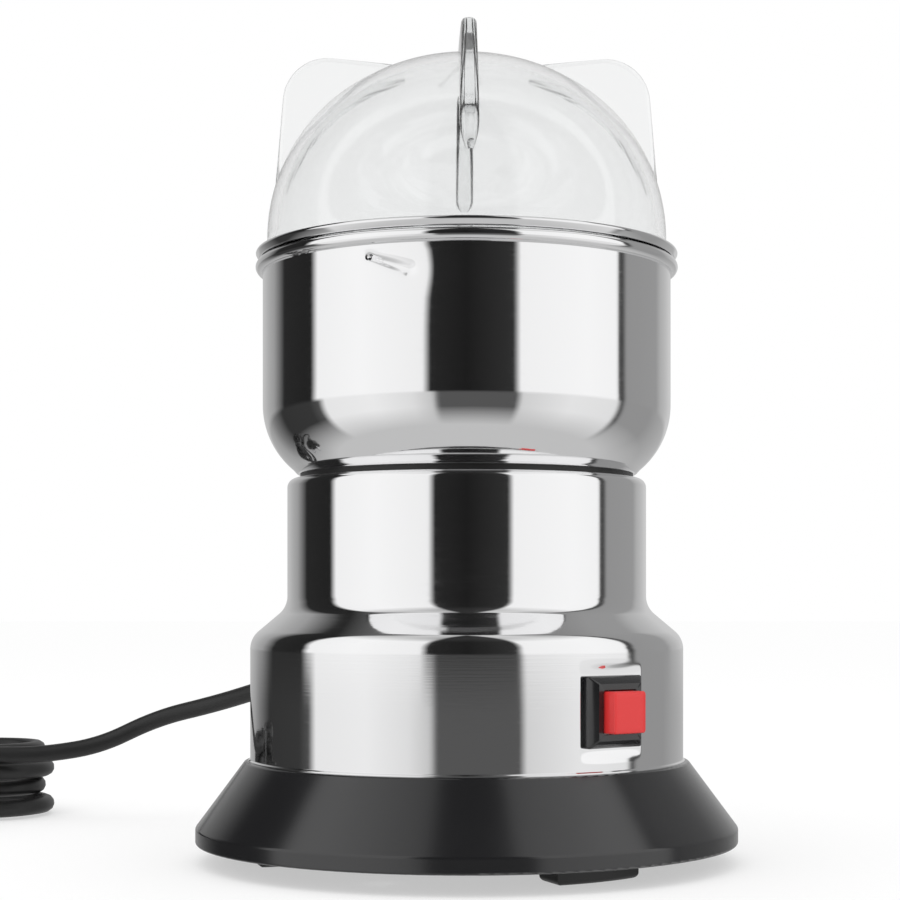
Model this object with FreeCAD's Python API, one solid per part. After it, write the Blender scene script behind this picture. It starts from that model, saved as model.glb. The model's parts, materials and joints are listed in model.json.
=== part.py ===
import FreeCAD, Part
import math
import os

from FreeCAD import Vector

# An electric grain mill: a steel bowl on a stepped steel body over a flared black base.
# Millimetres. The origin is on the floor under the shaft, +Z is up and the front faces -Y.
# An azimuth is measured from the front towards +X, so it grows anticlockwise seen from above.

# Outer form, each height counted from the piece below
FOOT_STAND = 4.4
SKIRT_RADIUS = 61.0
SKIRT_LIP = 3.5
SKIRT_LEDGE = 1.2
SKIRT_HEIGHT = 18.3
SKIRT_WALL = 2.2
SHEET = 0.8
BARREL_RADIUS = 48.8
BARREL_HEIGHT = 27.5
SHOULDER_RISE = 7.0
SHOULDER_BEND = 5.2
NECK_RADIUS = 40.5
NECK_HEIGHT = 28.8
NECK_EDGE = 2.0
GASKET_THICKNESS = 1.0
GASKET_INSET = 2.9
BOWL_RADIUS = 46.0
BOWL_HEIGHT = 47.8
BOWL_FOOT_INSET = 7.8
BOWL_BELLY_RISE = 6.9
BOWL_BELLY_BEND = 18.6
BEAD_THICKNESS = 2.8
BEAD_OUT = 1.6

# Lid
LID_WALL = 2.0
LID_INSET = 1.0
LID_COLLAR_HEIGHT = 4.7
DOME_SHIFT = 5.0
DOME_BLEND_ANGLE = 55.0
LID_FLANGE_THICKNESS = 1.1
LID_SKIRT_CLEAR = 1.9
LID_SKIRT_DEPTH = 13.0
RING_HEIGHT = 1.9
RING_LIP = 0.4
RING_BITE = 1.4
FIN_COUNT = 4
FIN_TURN = 0.8
FIN_INSET = 2.5
FIN_LEAN = 1.2
FIN_TOP_INNER = 15.0
FIN_CREST = 2.1
FIN_FALL = 1.2
FIN_CORNER = 10.0
FIN_EDGE_WIDTH = 3.1
FIN_ROOT_WIDTH = 4.4
FIN_EDGE_ROUND = 1.2

# Bayonet: pressed ramps in the bowl wall and lugs on the lid
RAMP_COUNT = 3
RAMP_START = -26.0
RAMP_SPAN = 11.0
RAMP_DROP = 3.1
RAMP_BELOW_RIM = 5.3
RAMP_GROOVE = 1.2
LUG_HALF_ANGLE = 4.0
LUG_HEIGHT = 1.8
LUG_CLEAR = 0.4

# Cutter
SHAFT_RADIUS = 4.0
TIP_RADIUS = 3.0
BLADE_REACH = 34.0
BLADE_WIDTH = 15.0
BLADE_TIP_WIDTH = 8.0
BLADE_THICKNESS = 1.8
BLADE_FOLD = 19.0
LOWER_BLADE_BEND = -14.0
UPPER_BLADE_BEND = 28.0
BLADE_BEVEL = 3.0
BLADE_CLEAR = 9.0
COLLAR_RADIUS = 8.0
COLLAR_HEIGHT = 2.4
SPACER_HEIGHT = 1.8
WASHER_HEIGHT = 1.0
NUT_ACROSS_FLATS = 10.0
NUT_HEIGHT = 5.0
NUT_DOME = 3.0

# Bowl hub that clamps the bowl to the body
HUB_FLANGE_RADIUS = 23.0
HUB_FLANGE_THICKNESS = 1.6
HUB_TOWER_RADIUS = 9.5
HUB_TOWER_HEIGHT = 4.3
SEAL_RADIUS = 7.0
SEAL_HEIGHT = 2.2
SCREW_RADIUS = 1.75
SCREW_HEAD_RADIUS = 3.3
SCREW_HEAD_HEIGHT = 2.0
BOWL_SCREW_CIRCLE = 17.5
BOWL_SCREW_COUNT = 3

# Motor, hung under the top of the body
MOUNT_THICKNESS = 5.0
MOUNT_CLEARANCE = 1.6
MOUNT_RIB_LENGTH = 20.0
MOUNT_RIB_THICKNESS = 2.0
LEG_LENGTH = 14.2
LEG_RADIUS = 4.2
STACK_HEIGHT = 16.0
STATOR_LENGTH = 58.0
STATOR_WIDTH = 45.0
STATOR_YOKE = 5.2
STATOR_CORNER = 6.0
STATOR_BORE = 15.1
POLE_WIDTH = 17.0
POLE_SHOE = 2.2
POLE_SHOE_ANGLE = 52.0
LEG_X = 25.0
LEG_Y = 18.6
AIR_GAP = 0.5
ROTOR_SLOTS = 12
SLOT_WIDTH = 3.0
SLOT_DEPTH = 4.6
END_TURN = 6.0
END_TURN_RADIUS = 13.0
COIL_END = 5.6
COMMUTATOR_RADIUS = 9.5
COMMUTATOR_HEIGHT = 9.0
COMMUTATOR_BARS = 12
BEARING_RADIUS = 11.0
BEARING_WIDTH = 7.0
BEARING_INNER = 6.0
BRACKET_RADIUS = 30.0
BRACKET_THICKNESS = 3.0
BRACKET_HUB_RADIUS = 14.0
EAR_CIRCLE = 36.0
EAR_RADIUS = 4.5
BRUSH_WIDTH = 5.0
BRUSH_HEIGHT = 7.0
BRUSH_LENGTH = 11.0
HOLDER_WALL = 0.8
HOLDER_LENGTH = 17.5
FAN_RADIUS = 29.0
FAN_HEIGHT = 8.0
FAN_BLADES = 9
FAN_BLADE_THICKNESS = 1.4
FAN_DISC = 1.4
FAN_HUB_RADIUS = 8.0

# Base
SPIGOT_HEIGHT = 3.2
SPIGOT_WALL = 2.0
DECK_THICKNESS = 2.5
DECK_HOLE = 31.5
RIB_SETBACK = 4.5
RIB_THICKNESS = 1.6
PLATE_THICKNESS = 2.0
PLATE_RECESS = 0.6
COVER_SCREW_CIRCLE = 44.0
COVER_BOSS_RADIUS = 4.2
VENT_WIDTH = 2.6
INNER_VENT_COUNT = 12
INNER_VENT_START = 8.0
INNER_VENT_END = 17.0
OUTER_VENT_COUNT = 24
OUTER_VENT_START = 20.5
OUTER_VENT_END = 33.5
FOOT_LENGTH = 22.0
FOOT_INNER = 39.0
FOOT_OUTER = 48.0
FOOT_ROUND = 1.2
FOOT_COUNT = 3
FOOT_AZIMUTH = 36.0

# Switch
SWITCH_AZIMUTH = 38.6
SWITCH_ABOVE_SKIRT = 12.8
FLAT_DEPTH = 0.8
FLAT_WIDTH = 18.4
BEZEL_SIZE = 15.0
BEZEL_OUT = 3.0
BEZEL_BEVEL = 1.6
SWITCH_BODY_SIZE = 13.0
SWITCH_BODY_DEPTH = 16.0
SWITCH_WALL = 1.2
BUTTON_SIZE = 8.7
BUTTON_OUT = 3.2
BUTTON_TRAVEL = 2.6
BUTTON_COLLAR = 1.0
BUTTON_COLLAR_THICKNESS = 1.4
BUTTON_CLEAR = 0.3
TERMINAL_WIDTH = 4.8
TERMINAL_LENGTH = 6.0
TERMINAL_THICKNESS = 0.8
TERMINAL_SPACING = 7.0
SPRING_RADIUS = 2.6
SPRING_WIRE = 0.5

# Cord and plug
CORD_DIAMETER = 4.5
CORD_AZIMUTH = -141.4
CORD_ABOVE_SKIRT = 13.8
RELIEF_LENGTH = 21.0
RELIEF_RADIUS = 4.4
RELIEF_TIP_RADIUS = 2.9
RELIEF_GROOVES = 5
RELIEF_FLANGE = 6.2
CORD_INSIDE = 5.0
HANK_RUN = 68.0
HANK_LOOPS = 4
HANK_FOLD = 3.0
HANK_STEP = 5.8
HANK_DRAW = 9.0
HANK_LAYER = 4.95
HANK_RIGHT = -133.8
HANK_NEAR = 79.0
TAIL_FOLD = 15.0
TAIL_RUN = 16.0
TIE_WIDTH = 6.5
TIE_THICKNESS = 0.45
TIE_CLEAR = 0.2
PLUG_WIDTH = 35.3
PLUG_THICKNESS = 13.7
PLUG_LENGTH = 36.0
PLUG_NECK = 8.0
PIN_RADIUS = 2.0
PIN_LENGTH = 19.0
PIN_SPACING = 18.6
PIN_SLEEVE = 10.0

# Fits
RUNNING = 0.05
SLIP = 0.15
CLEAR = 0.3
BITE = 1.0

# Radii that follow from the sizes above
SKIRT_TOP_RADIUS = BARREL_RADIUS + SKIRT_LEDGE
GASKET_RADIUS = NECK_RADIUS - GASKET_INSET
BOWL_FOOT_RADIUS = BOWL_RADIUS - BOWL_FOOT_INSET
BEAD_RADIUS = BOWL_RADIUS + BEAD_OUT
LID_RADIUS = BOWL_RADIUS - LID_INSET
LID_SKIRT_RADIUS = BOWL_RADIUS - SHEET - LID_SKIRT_CLEAR
DOME_SIDE_ARC = LID_RADIUS - DOME_SHIFT
FIN_REACH = LID_RADIUS - FIN_INSET
FIN_TOP_REACH = FIN_REACH - FIN_LEAN
LUG_REACH = BOWL_RADIUS - SHEET - LUG_CLEAR

# Heights that follow from the sizes above
SKIRT_TOP = FOOT_STAND + SKIRT_HEIGHT
SHOULDER_LOW = SKIRT_TOP + BARREL_HEIGHT
SHOULDER_HIGH = SHOULDER_LOW + SHOULDER_RISE
BODY_TOP = SHOULDER_HIGH + NECK_HEIGHT
BOWL_BOTTOM = BODY_TOP + GASKET_THICKNESS
RIM_TOP = BOWL_BOTTOM + BOWL_HEIGHT
BOWL_FLOOR = BOWL_BOTTOM + SHEET
MOUNT_TOP = BODY_TOP - SHEET
MOUNT_BOTTOM = MOUNT_TOP - MOUNT_THICKNESS
STACK_TOP = MOUNT_BOTTOM - LEG_LENGTH
STACK_BOTTOM = STACK_TOP - STACK_HEIGHT
WINDING_TOP = STACK_TOP + END_TURN
WINDING_BOTTOM = STACK_BOTTOM - END_TURN
COMMUTATOR_TOP = WINDING_BOTTOM - CLEAR
COMMUTATOR_BOTTOM = COMMUTATOR_TOP - COMMUTATOR_HEIGHT
BRACKET_TOP = COMMUTATOR_BOTTOM - 2.2
BRACKET_BOTTOM = BRACKET_TOP - BRACKET_THICKNESS
LOWER_BEARING_TOP = BRACKET_TOP - 0.8
LOWER_BEARING_BOTTOM = LOWER_BEARING_TOP - BEARING_WIDTH
FAN_TOP = LOWER_BEARING_BOTTOM - 2.0
FAN_BOTTOM = FAN_TOP - FAN_HEIGHT
UPPER_BEARING_TOP = MOUNT_TOP - 1.6
UPPER_BEARING_BOTTOM = UPPER_BEARING_TOP - BEARING_WIDTH
HUB_TOP = BOWL_FLOOR + HUB_FLANGE_THICKNESS + HUB_TOWER_HEIGHT
BLADE_SEAT = BOWL_FLOOR + BLADE_CLEAR
LOWER_BLADE_TOP = BLADE_SEAT + BLADE_THICKNESS
UPPER_BLADE_LOW = LOWER_BLADE_TOP + SPACER_HEIGHT
UPPER_BLADE_TOP = UPPER_BLADE_LOW + BLADE_THICKNESS
NUT_LOW = UPPER_BLADE_TOP + WASHER_HEIGHT
MOTOR_TURN = SWITCH_AZIMUTH - 90.0
DECK_BOTTOM = SKIRT_TOP - DECK_THICKNESS
PLATE_BOTTOM = FOOT_STAND + PLATE_RECESS
PLATE_TOP = PLATE_BOTTOM + PLATE_THICKNESS

AXIS = Vector(0, 0, 1)
CENTRE = Vector(0, 0, 0)


# Outlines and simple solids

def in_section(r, z):
    return Vector(r, 0, z)


def in_plan(x, y):
    return Vector(x, y, 0)


def flat_unit(a, b):
    length = math.hypot(b[0] - a[0], b[1] - a[1])
    return ((b[0] - a[0]) / length, (b[1] - a[1]) / length)


def outline(corners, place=in_section, closed=True):
    """Straight edges through corners (a, b) or (a, b, radius), each radius a tangent arc."""
    count = len(corners)
    edges = []
    last = None
    first = None
    for i, corner in enumerate(corners):
        here = corner[:2]
        radius = corner[2] if len(corner) > 2 else 0.0
        at_end = not closed and i in (0, count - 1)
        if radius and not at_end:
            back = flat_unit(here, corners[i - 1][:2])
            on = flat_unit(here, corners[(i + 1) % count][:2])
            half = math.acos(max(-1.0, min(1.0, back[0] * on[0] + back[1] * on[1]))) / 2.0
            reach = radius / math.tan(half)
            middle = ((back[0] + on[0]) / 2.0, (back[1] + on[1]) / 2.0)
            size = math.hypot(*middle)
            out = (radius / math.sin(half) - radius) / size
            start = place(here[0] + back[0] * reach, here[1] + back[1] * reach)
            end = place(here[0] + on[0] * reach, here[1] + on[1] * reach)
            mid = place(here[0] + middle[0] * out, here[1] + middle[1] * out)
        else:
            start = end = place(*here)
        if last is not None and last.distanceToPoint(start) > 1e-6:
            edges.append(Part.LineSegment(last, start).toShape())
        if start.distanceToPoint(end) > 1e-6:
            edges.append(Part.Arc(start, mid, end).toShape())
        if first is None:
            first = start
        last = end
    if closed:
        edges.append(Part.LineSegment(last, first).toShape())
    return Part.Wire(edges)


def shifted(corners, distance):
    """The open path's corners moved to its left, with their radii changed to match."""
    moved = []
    lines = []
    for a, b in zip(corners, corners[1:]):
        along = flat_unit(a, b)
        normal = (-along[1], along[0])
        lines.append(((a[0] + normal[0] * distance, a[1] + normal[1] * distance), along))
    for i, corner in enumerate(corners):
        if i == 0:
            moved.append(lines[0][0])
            continue
        if i == len(corners) - 1:
            along = lines[-1][1]
            moved.append((corner[0] - along[1] * distance, corner[1] + along[0] * distance))
            continue
        (p, u), (q, v) = lines[i - 1], lines[i]
        cross = u[0] * v[1] - u[1] * v[0]
        t = ((q[0] - p[0]) * v[1] - (q[1] - p[1]) * v[0]) / cross
        radius = corner[2] if len(corner) > 2 else 0.0
        if radius:
            radius = radius - distance if cross > 0 else radius + distance
        moved.append((p[0] + u[0] * t, p[1] + u[1] * t, max(radius, 0.0)))
    return moved


def lathe(corners):
    """The closed outline in radius and height, turned round the shaft."""
    return Part.Face(outline(corners)).revolve(CENTRE, AXIS, 360)


def sheet_lathe(corners, thickness):
    """Sheet metal: the open outer path and its copy a thickness to the left, turned round the shaft."""
    inner = shifted(corners, thickness)
    return lathe(list(corners) + inner[::-1])


def slab(corners, low, high):
    """The closed outline in plan, raised from low to high."""
    face = Part.Face(outline(corners, in_plan))
    face.translate(Vector(0, 0, low))
    return face.extrude(Vector(0, 0, high - low))


def rectangle(length, width, corner=0.0, x=0.0, y=0.0):
    a, b = length / 2.0, width / 2.0
    return [(x - a, y - b, corner), (x + a, y - b, corner), (x + a, y + b, corner), (x - a, y + b, corner)]


def drum(radius, low, high, x=0.0, y=0.0):
    return Part.makeCylinder(radius, high - low, Vector(x, y, low))


def pipe(outer, inner, low, high, x=0.0, y=0.0):
    return drum(outer, low, high, x, y).cut(drum(inner, low - 1.0, high + 1.0, x, y))


def sector(inner, outer, low, high, azimuth, half_angle):
    """A piece of a ring, centred on an azimuth."""
    face = Part.Face(outline([(inner, low), (outer, low), (outer, high), (inner, high)]))
    piece = face.revolve(CENTRE, AXIS, 2.0 * half_angle)
    return piece.rotated(CENTRE, AXIS, azimuth - 90.0 - half_angle)


def around(shape, azimuth):
    """A shape made at the front, turned to an azimuth."""
    return shape.rotated(CENTRE, AXIS, azimuth)


def ring_of(shape, count, first=0.0):
    return [around(shape, first + 360.0 * i / count) for i in range(count)]


def outward_block(width, height, inner, outer, z):
    """A block at the front between two distances from the shaft."""
    return Part.makeBox(width, outer - inner, height, Vector(-width / 2.0, -outer, z - height / 2.0))


def outward_rod(radius, inner, outer, z, x=0.0):
    return Part.makeCylinder(radius, outer - inner, Vector(x, -inner, z), Vector(0, -1, 0))


def fused(shapes):
    whole = shapes[0].fuse(shapes[1:]) if len(shapes) > 1 else shapes[0]
    return whole.removeSplitter()


def less(shape, tools):
    return shape.cut(tools) if tools else shape


def in_motor(shape):
    """From the motor's own axes, poles on X and brushes on Y, to its place in the body."""
    return shape.rotated(CENTRE, AXIS, MOTOR_TURN)


def screw(x, y, head_at, tip, up=True, radius=SCREW_RADIUS):
    """A pan-head screw whose head bears at head_at and whose shank ends at tip."""
    rise = SCREW_HEAD_HEIGHT if up else -SCREW_HEAD_HEIGHT
    head_corners = [(0, 0), (SCREW_HEAD_RADIUS, 0), (SCREW_HEAD_RADIUS, rise, 0.9), (0, rise)]
    head = Part.Face(outline(head_corners)).revolve(CENTRE, AXIS, 360)
    slot_low = rise * 0.5 if up else rise - 1.0
    slot = Part.makeBox(5.0, 0.9, abs(rise) * 0.5 + 1.0, Vector(-2.5, -0.45, slot_low))
    head = head.cut(slot)
    head.translate(Vector(x, y, head_at))
    shank = drum(radius, min(tip, head_at), max(tip, head_at), x, y)
    return head.fuse(shank).removeSplitter()


def save(name, shape):
    """Writes one node. A list becomes a group of separate solids."""
    if isinstance(shape, list):
        solids = [s for piece in shape for s in piece.Solids]
        shape = Part.makeCompound(solids)
    elif len(shape.Solids) == 1:
        shape = shape.Solids[0]
    for solid in shape.Solids:
        if not solid.isValid() or solid.Volume <= 0:
            print("check", name, "valid", solid.isValid(), "volume", round(solid.Volume, 3))
    shape.exportStep(os.path.join("parts", name + ".step"))


# Base, feet and cover

def skirt_inner_radius(z):
    """The inside of the sloping wall, a wall's thickness square to its outside."""
    slope_r = SKIRT_TOP_RADIUS - SKIRT_RADIUS
    slope_z = SKIRT_HEIGHT - SKIRT_LIP
    length = math.hypot(slope_r, slope_z)
    start_r = SKIRT_RADIUS - SKIRT_WALL * slope_z / length
    start_z = FOOT_STAND + SKIRT_LIP + SKIRT_WALL * slope_r / length
    return start_r + (z - start_z) * slope_r / slope_z


def cover_azimuths():
    return [FOOT_AZIMUTH + 60.0 + 360.0 * i / FOOT_COUNT for i in range(FOOT_COUNT)]


def at_azimuth(radius, azimuth):
    angle = math.radians(azimuth)
    return radius * math.sin(angle), -radius * math.cos(angle)


def base_skirt():
    inner_lip = SKIRT_RADIUS - SKIRT_WALL
    knee = FOOT_STAND + SKIRT_LIP - 0.7
    spigot = BARREL_RADIUS - SHEET - SLIP
    shape = lathe([
        (SKIRT_RADIUS, FOOT_STAND, 0.6),
        (SKIRT_RADIUS, FOOT_STAND + SKIRT_LIP, 0.9),
        (SKIRT_TOP_RADIUS, SKIRT_TOP, 0.8),
        (spigot, SKIRT_TOP),
        (spigot, SKIRT_TOP + SPIGOT_HEIGHT),
        (spigot - SPIGOT_WALL, SKIRT_TOP + SPIGOT_HEIGHT),
        (spigot - SPIGOT_WALL, SKIRT_TOP),
        (DECK_HOLE, SKIRT_TOP),
        (DECK_HOLE, DECK_BOTTOM),
        (skirt_inner_radius(DECK_BOTTOM), DECK_BOTTOM),
        (inner_lip, knee),
        (inner_lip, FOOT_STAND),
    ])
    bosses = []
    holes = []
    for azimuth in cover_azimuths():
        x, y = at_azimuth(COVER_SCREW_CIRCLE, azimuth)
        bosses.append(drum(COVER_BOSS_RADIUS, PLATE_TOP, DECK_BOTTOM + 0.5, x, y))
        holes.append(drum(SCREW_RADIUS + RUNNING, PLATE_TOP - 1.0, DECK_BOTTOM, x, y))
    for x, y in ear_places():
        holes.append(drum(SCREW_RADIUS + SLIP, DECK_BOTTOM - 1.0, SKIRT_TOP + 1.0, x, y))
    ribs = ring_of(outward_block(RIB_THICKNESS, DECK_BOTTOM - PLATE_TOP - 2.0, DECK_HOLE + RIB_SETBACK,
                                 skirt_inner_radius(PLATE_TOP) - 1.0, (DECK_BOTTOM + PLATE_TOP) / 2.0 + 1.0),
                   2 * FOOT_COUNT, FOOT_AZIMUTH + 30.0)
    allowed = lathe([
        (DECK_HOLE, PLATE_TOP + 1.0),
        (skirt_inner_radius(PLATE_TOP + 1.0) + 0.5, PLATE_TOP + 1.0),
        (skirt_inner_radius(DECK_BOTTOM) + 0.5, DECK_BOTTOM + 0.5),
        (DECK_HOLE, DECK_BOTTOM + 0.5),
    ])
    ribs = [rib.common(allowed) for rib in ribs]
    return less(fused([shape] + bosses + ribs), holes)


def ear_places():
    """The three pillars that tie the motor to the base, in the body's own axes."""
    return [at_azimuth(EAR_CIRCLE, SWITCH_AZIMUTH + turn) for turn in (60.0, 180.0, 300.0)]


def base_plate():
    radius = SKIRT_RADIUS - SKIRT_WALL - CLEAR
    shape = lathe([
        (0, PLATE_BOTTOM),
        (radius, PLATE_BOTTOM, 0.5),
        (radius, PLATE_TOP),
        (0, PLATE_TOP),
    ])
    cuts = []
    rows = ((INNER_VENT_COUNT, INNER_VENT_START, INNER_VENT_END),
            (OUTER_VENT_COUNT, OUTER_VENT_START, OUTER_VENT_END))
    for count, start, end in rows:
        slot = outward_block(VENT_WIDTH, PLATE_THICKNESS + 2.0, start, end, PLATE_BOTTOM + PLATE_THICKNESS / 2.0)
        cuts += ring_of(slot, count)
    for azimuth in cover_azimuths():
        x, y = at_azimuth(COVER_SCREW_CIRCLE, azimuth)
        cuts.append(drum(SCREW_RADIUS + SLIP, PLATE_BOTTOM - 1.0, PLATE_TOP + 1.0, x, y))
    return less(shape, cuts)


def foot():
    """A rubber block with its outer face along the skirt."""
    half = math.degrees(FOOT_LENGTH / 2.0 / FOOT_OUTER)
    block = sector(FOOT_INNER, FOOT_OUTER, 0.0, PLATE_BOTTOM, 0.0, half)
    rims = [e for e in block.Edges if e.BoundBox.ZMax < 1e-6]
    return block.makeFillet(FOOT_ROUND, rims)


# Body shell

def body_shell():
    shape = sheet_lathe([
        (BARREL_RADIUS, SKIRT_TOP),
        (BARREL_RADIUS, SHOULDER_LOW, SHOULDER_BEND),
        (NECK_RADIUS, SHOULDER_HIGH, SHOULDER_BEND),
        (NECK_RADIUS, BODY_TOP, NECK_EDGE),
        (HUB_TOWER_RADIUS + 2.5, BODY_TOP),
    ], SHEET)
    lip = lathe([
        (BARREL_RADIUS - SHEET, SKIRT_TOP),
        (SKIRT_TOP_RADIUS - 0.3, SKIRT_TOP),
        (SKIRT_TOP_RADIUS - 0.3, SKIRT_TOP + 0.6, 0.25),
        (BARREL_RADIUS, SKIRT_TOP + 0.9),
        (BARREL_RADIUS - SHEET, SKIRT_TOP + 0.9),
    ])
    shape = fused([shape, lip])
    z = switch_height()
    outside = around(outward_block(FLAT_WIDTH, FLAT_WIDTH, switch_face(), BARREL_RADIUS + 2.0, z), SWITCH_AZIMUTH)
    pad = around(outward_block(FLAT_WIDTH, FLAT_WIDTH, switch_face() - SHEET, switch_face(), z), SWITCH_AZIMUTH)
    size = SWITCH_BODY_SIZE + 2.0 * SLIP
    window = around(outward_block(size, size, switch_face() - 4.0, BARREL_RADIUS + 2.0, z), SWITCH_AZIMUTH)
    gland_hole = around(outward_rod(RELIEF_RADIUS + SLIP, BARREL_RADIUS - 4.0, BARREL_RADIUS + 4.0, cord_height()),
                        CORD_AZIMUTH)
    holes = [window, gland_hole]
    for x, y in bowl_screw_places():
        holes.append(drum(SCREW_RADIUS + SLIP, MOUNT_TOP - 1.0, BODY_TOP + 1.0, x, y))
    return less(shape.cut(outside).fuse(pad), holes).removeSplitter()


def bowl_screw_places():
    return [at_azimuth(BOWL_SCREW_CIRCLE, 60.0 + 360.0 * i / BOWL_SCREW_COUNT) for i in range(BOWL_SCREW_COUNT)]


# Bowl, gasket and hub

def bowl_gasket():
    return pipe(GASKET_RADIUS, GASKET_RADIUS - 6.0, BODY_TOP, BOWL_BOTTOM)


def ramp_ends():
    """The ends of one pressed ramp's centre line, on the bowl wall."""
    radius = BOWL_RADIUS - 0.1
    high = at_azimuth(radius, RAMP_START)
    low = at_azimuth(radius, RAMP_START + RAMP_SPAN)
    top = RIM_TOP - RAMP_BELOW_RIM
    return Vector(high[0], high[1], top), Vector(low[0], low[1], top - RAMP_DROP)


def capsule(a, b, radius):
    rod = Part.makeCylinder(radius, a.distanceToPoint(b), a, b.sub(a))
    return fused([rod, Part.makeSphere(radius, a), Part.makeSphere(radius, b)])


def bowl():
    bead_low = RIM_TOP - BEAD_THICKNESS
    shape = sheet_lathe([
        (HUB_TOWER_RADIUS + 2.5, BOWL_BOTTOM),
        (BOWL_FOOT_RADIUS, BOWL_BOTTOM, 0.9),
        (BOWL_FOOT_RADIUS + 1.0, BOWL_BOTTOM + 1.1),
        (BOWL_RADIUS, BOWL_BOTTOM + BOWL_BELLY_RISE, BOWL_BELLY_BEND),
        (BOWL_RADIUS, RIM_TOP - BEAD_THICKNESS / 2.0),
    ], SHEET)
    roll = BEAD_THICKNESS / 2.0
    bead = lathe([
        (BOWL_RADIUS - SHEET, bead_low + 0.6, 0.5),
        (BOWL_RADIUS, bead_low),
        (BEAD_RADIUS, bead_low, roll * 0.98),
        (BEAD_RADIUS, RIM_TOP, roll * 0.98),
        (BOWL_RADIUS - SHEET, RIM_TOP, 0.7),
    ])
    shape = fused([shape, bead])
    start, end = ramp_ends()
    bump = capsule(start, end, RAMP_GROOVE + SHEET).common(drum(BOWL_RADIUS - 0.05, BOWL_FLOOR, bead_low))
    groove = capsule(start, end, RAMP_GROOVE)
    shape = shape.fuse(ring_of(bump, RAMP_COUNT)).removeSplitter()
    holes = [drum(SCREW_RADIUS + SLIP, BOWL_BOTTOM - 1.0, BOWL_FLOOR + 1.0, x, y) for x, y in bowl_screw_places()]
    return less(shape, ring_of(groove, RAMP_COUNT) + holes)


def bowl_hub():
    """The clamp that holds the bowl down, with a tower that carries the shaft seal."""
    neck_low = MOUNT_TOP + CLEAR
    shape = lathe([
        (SHAFT_RADIUS + 1.0, BOWL_FLOOR),
        (HUB_FLANGE_RADIUS, BOWL_FLOOR),
        (HUB_FLANGE_RADIUS, BOWL_FLOOR + HUB_FLANGE_THICKNESS, 0.7),
        (HUB_TOWER_RADIUS + 1.2, BOWL_FLOOR + HUB_FLANGE_THICKNESS, 1.5),
        (HUB_TOWER_RADIUS, HUB_TOP - 2.5, 2.0),
        (HUB_TOWER_RADIUS - 1.6, HUB_TOP, 0.6),
        (SEAL_RADIUS, HUB_TOP),
        (SEAL_RADIUS, HUB_TOP - SEAL_HEIGHT),
        (SHAFT_RADIUS + 1.0, HUB_TOP - SEAL_HEIGHT),
    ])
    spigot = pipe(HUB_TOWER_RADIUS + 2.2, SHAFT_RADIUS + 1.0, neck_low, BOWL_FLOOR + 0.5)
    holes = [drum(SCREW_RADIUS + SLIP, BOWL_BOTTOM, BOWL_FLOOR + 3.0, x, y) for x, y in bowl_screw_places()]
    return less(fused([shape, spigot]), holes)


def shaft_seal():
    return lathe([
        (SHAFT_RADIUS + RUNNING, HUB_TOP - SEAL_HEIGHT),
        (SEAL_RADIUS, HUB_TOP - SEAL_HEIGHT),
        (SEAL_RADIUS, HUB_TOP + 0.2),
        (SHAFT_RADIUS + 1.2, HUB_TOP + 0.2),
        (SHAFT_RADIUS + RUNNING, HUB_TOP - 0.6),
    ])


def bowl_screws():
    head_at = BOWL_FLOOR + HUB_FLANGE_THICKNESS
    return [screw(x, y, head_at, MOUNT_BOTTOM + BITE) for x, y in bowl_screw_places()]


# Cutter

def blade(bend, low):
    """A two-armed blade: flat across the hub, each arm folded at a crease, leading edge bevelled."""
    half = BLADE_WIDTH / 2.0
    tip = BLADE_TIP_WIDTH / 2.0
    top = low + BLADE_THICKNESS
    flat = slab(rectangle(2.0 * BLADE_FOLD, BLADE_WIDTH), low, top)
    reach = BLADE_REACH - BLADE_FOLD
    arm = slab([
        (0.0, -half),
        (reach - 2.0, -half + 2.2, 2.0),
        (reach, tip - 1.0, 2.0),
        (reach - 3.5, tip + 1.2, 1.5),
        (0.0, half),
    ], 0.0, BLADE_THICKNESS)
    depth = BLADE_THICKNESS * 0.8
    wedge = Part.Face(Part.makePolygon([
        Vector(0.0, -half - 1.0, BLADE_THICKNESS + 0.01),
        Vector(0.0, -half + BLADE_BEVEL, BLADE_THICKNESS + 0.01),
        Vector(0.0, -half - 1.0, BLADE_THICKNESS - depth),
        Vector(0.0, -half - 1.0, BLADE_THICKNESS + 0.01),
    ])).extrude(Vector(reach + 2.0, 0.9, 0.0))
    arm = arm.cut(wedge)
    arm.rotate(CENTRE, Vector(0, 1, 0), -bend)
    arm.translate(Vector(BLADE_FOLD, 0.0, low))
    crease = Part.makeCylinder(BLADE_THICKNESS, BLADE_WIDTH, Vector(BLADE_FOLD, -half, low), Vector(0, 1, 0))
    box_low = low if bend > 0 else low - BLADE_THICKNESS
    near = crease.common(Part.makeBox(BLADE_THICKNESS, BLADE_WIDTH, 2.0 * BLADE_THICKNESS,
                                      Vector(BLADE_FOLD, -half, box_low)))
    wedge_in = near.common(slab(rectangle(4.0 * BLADE_THICKNESS, BLADE_WIDTH, 0.0, BLADE_FOLD), low, top))
    arms = []
    for turn in (0.0, 180.0):
        arms.append(arm.rotated(CENTRE, AXIS, turn))
        if bend < 0:
            arms.append(wedge_in.rotated(CENTRE, AXIS, turn))
    whole = fused([flat] + arms)
    return whole.cut(drum(TIP_RADIUS + RUNNING, low - 1.0, top + 1.0))


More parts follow.
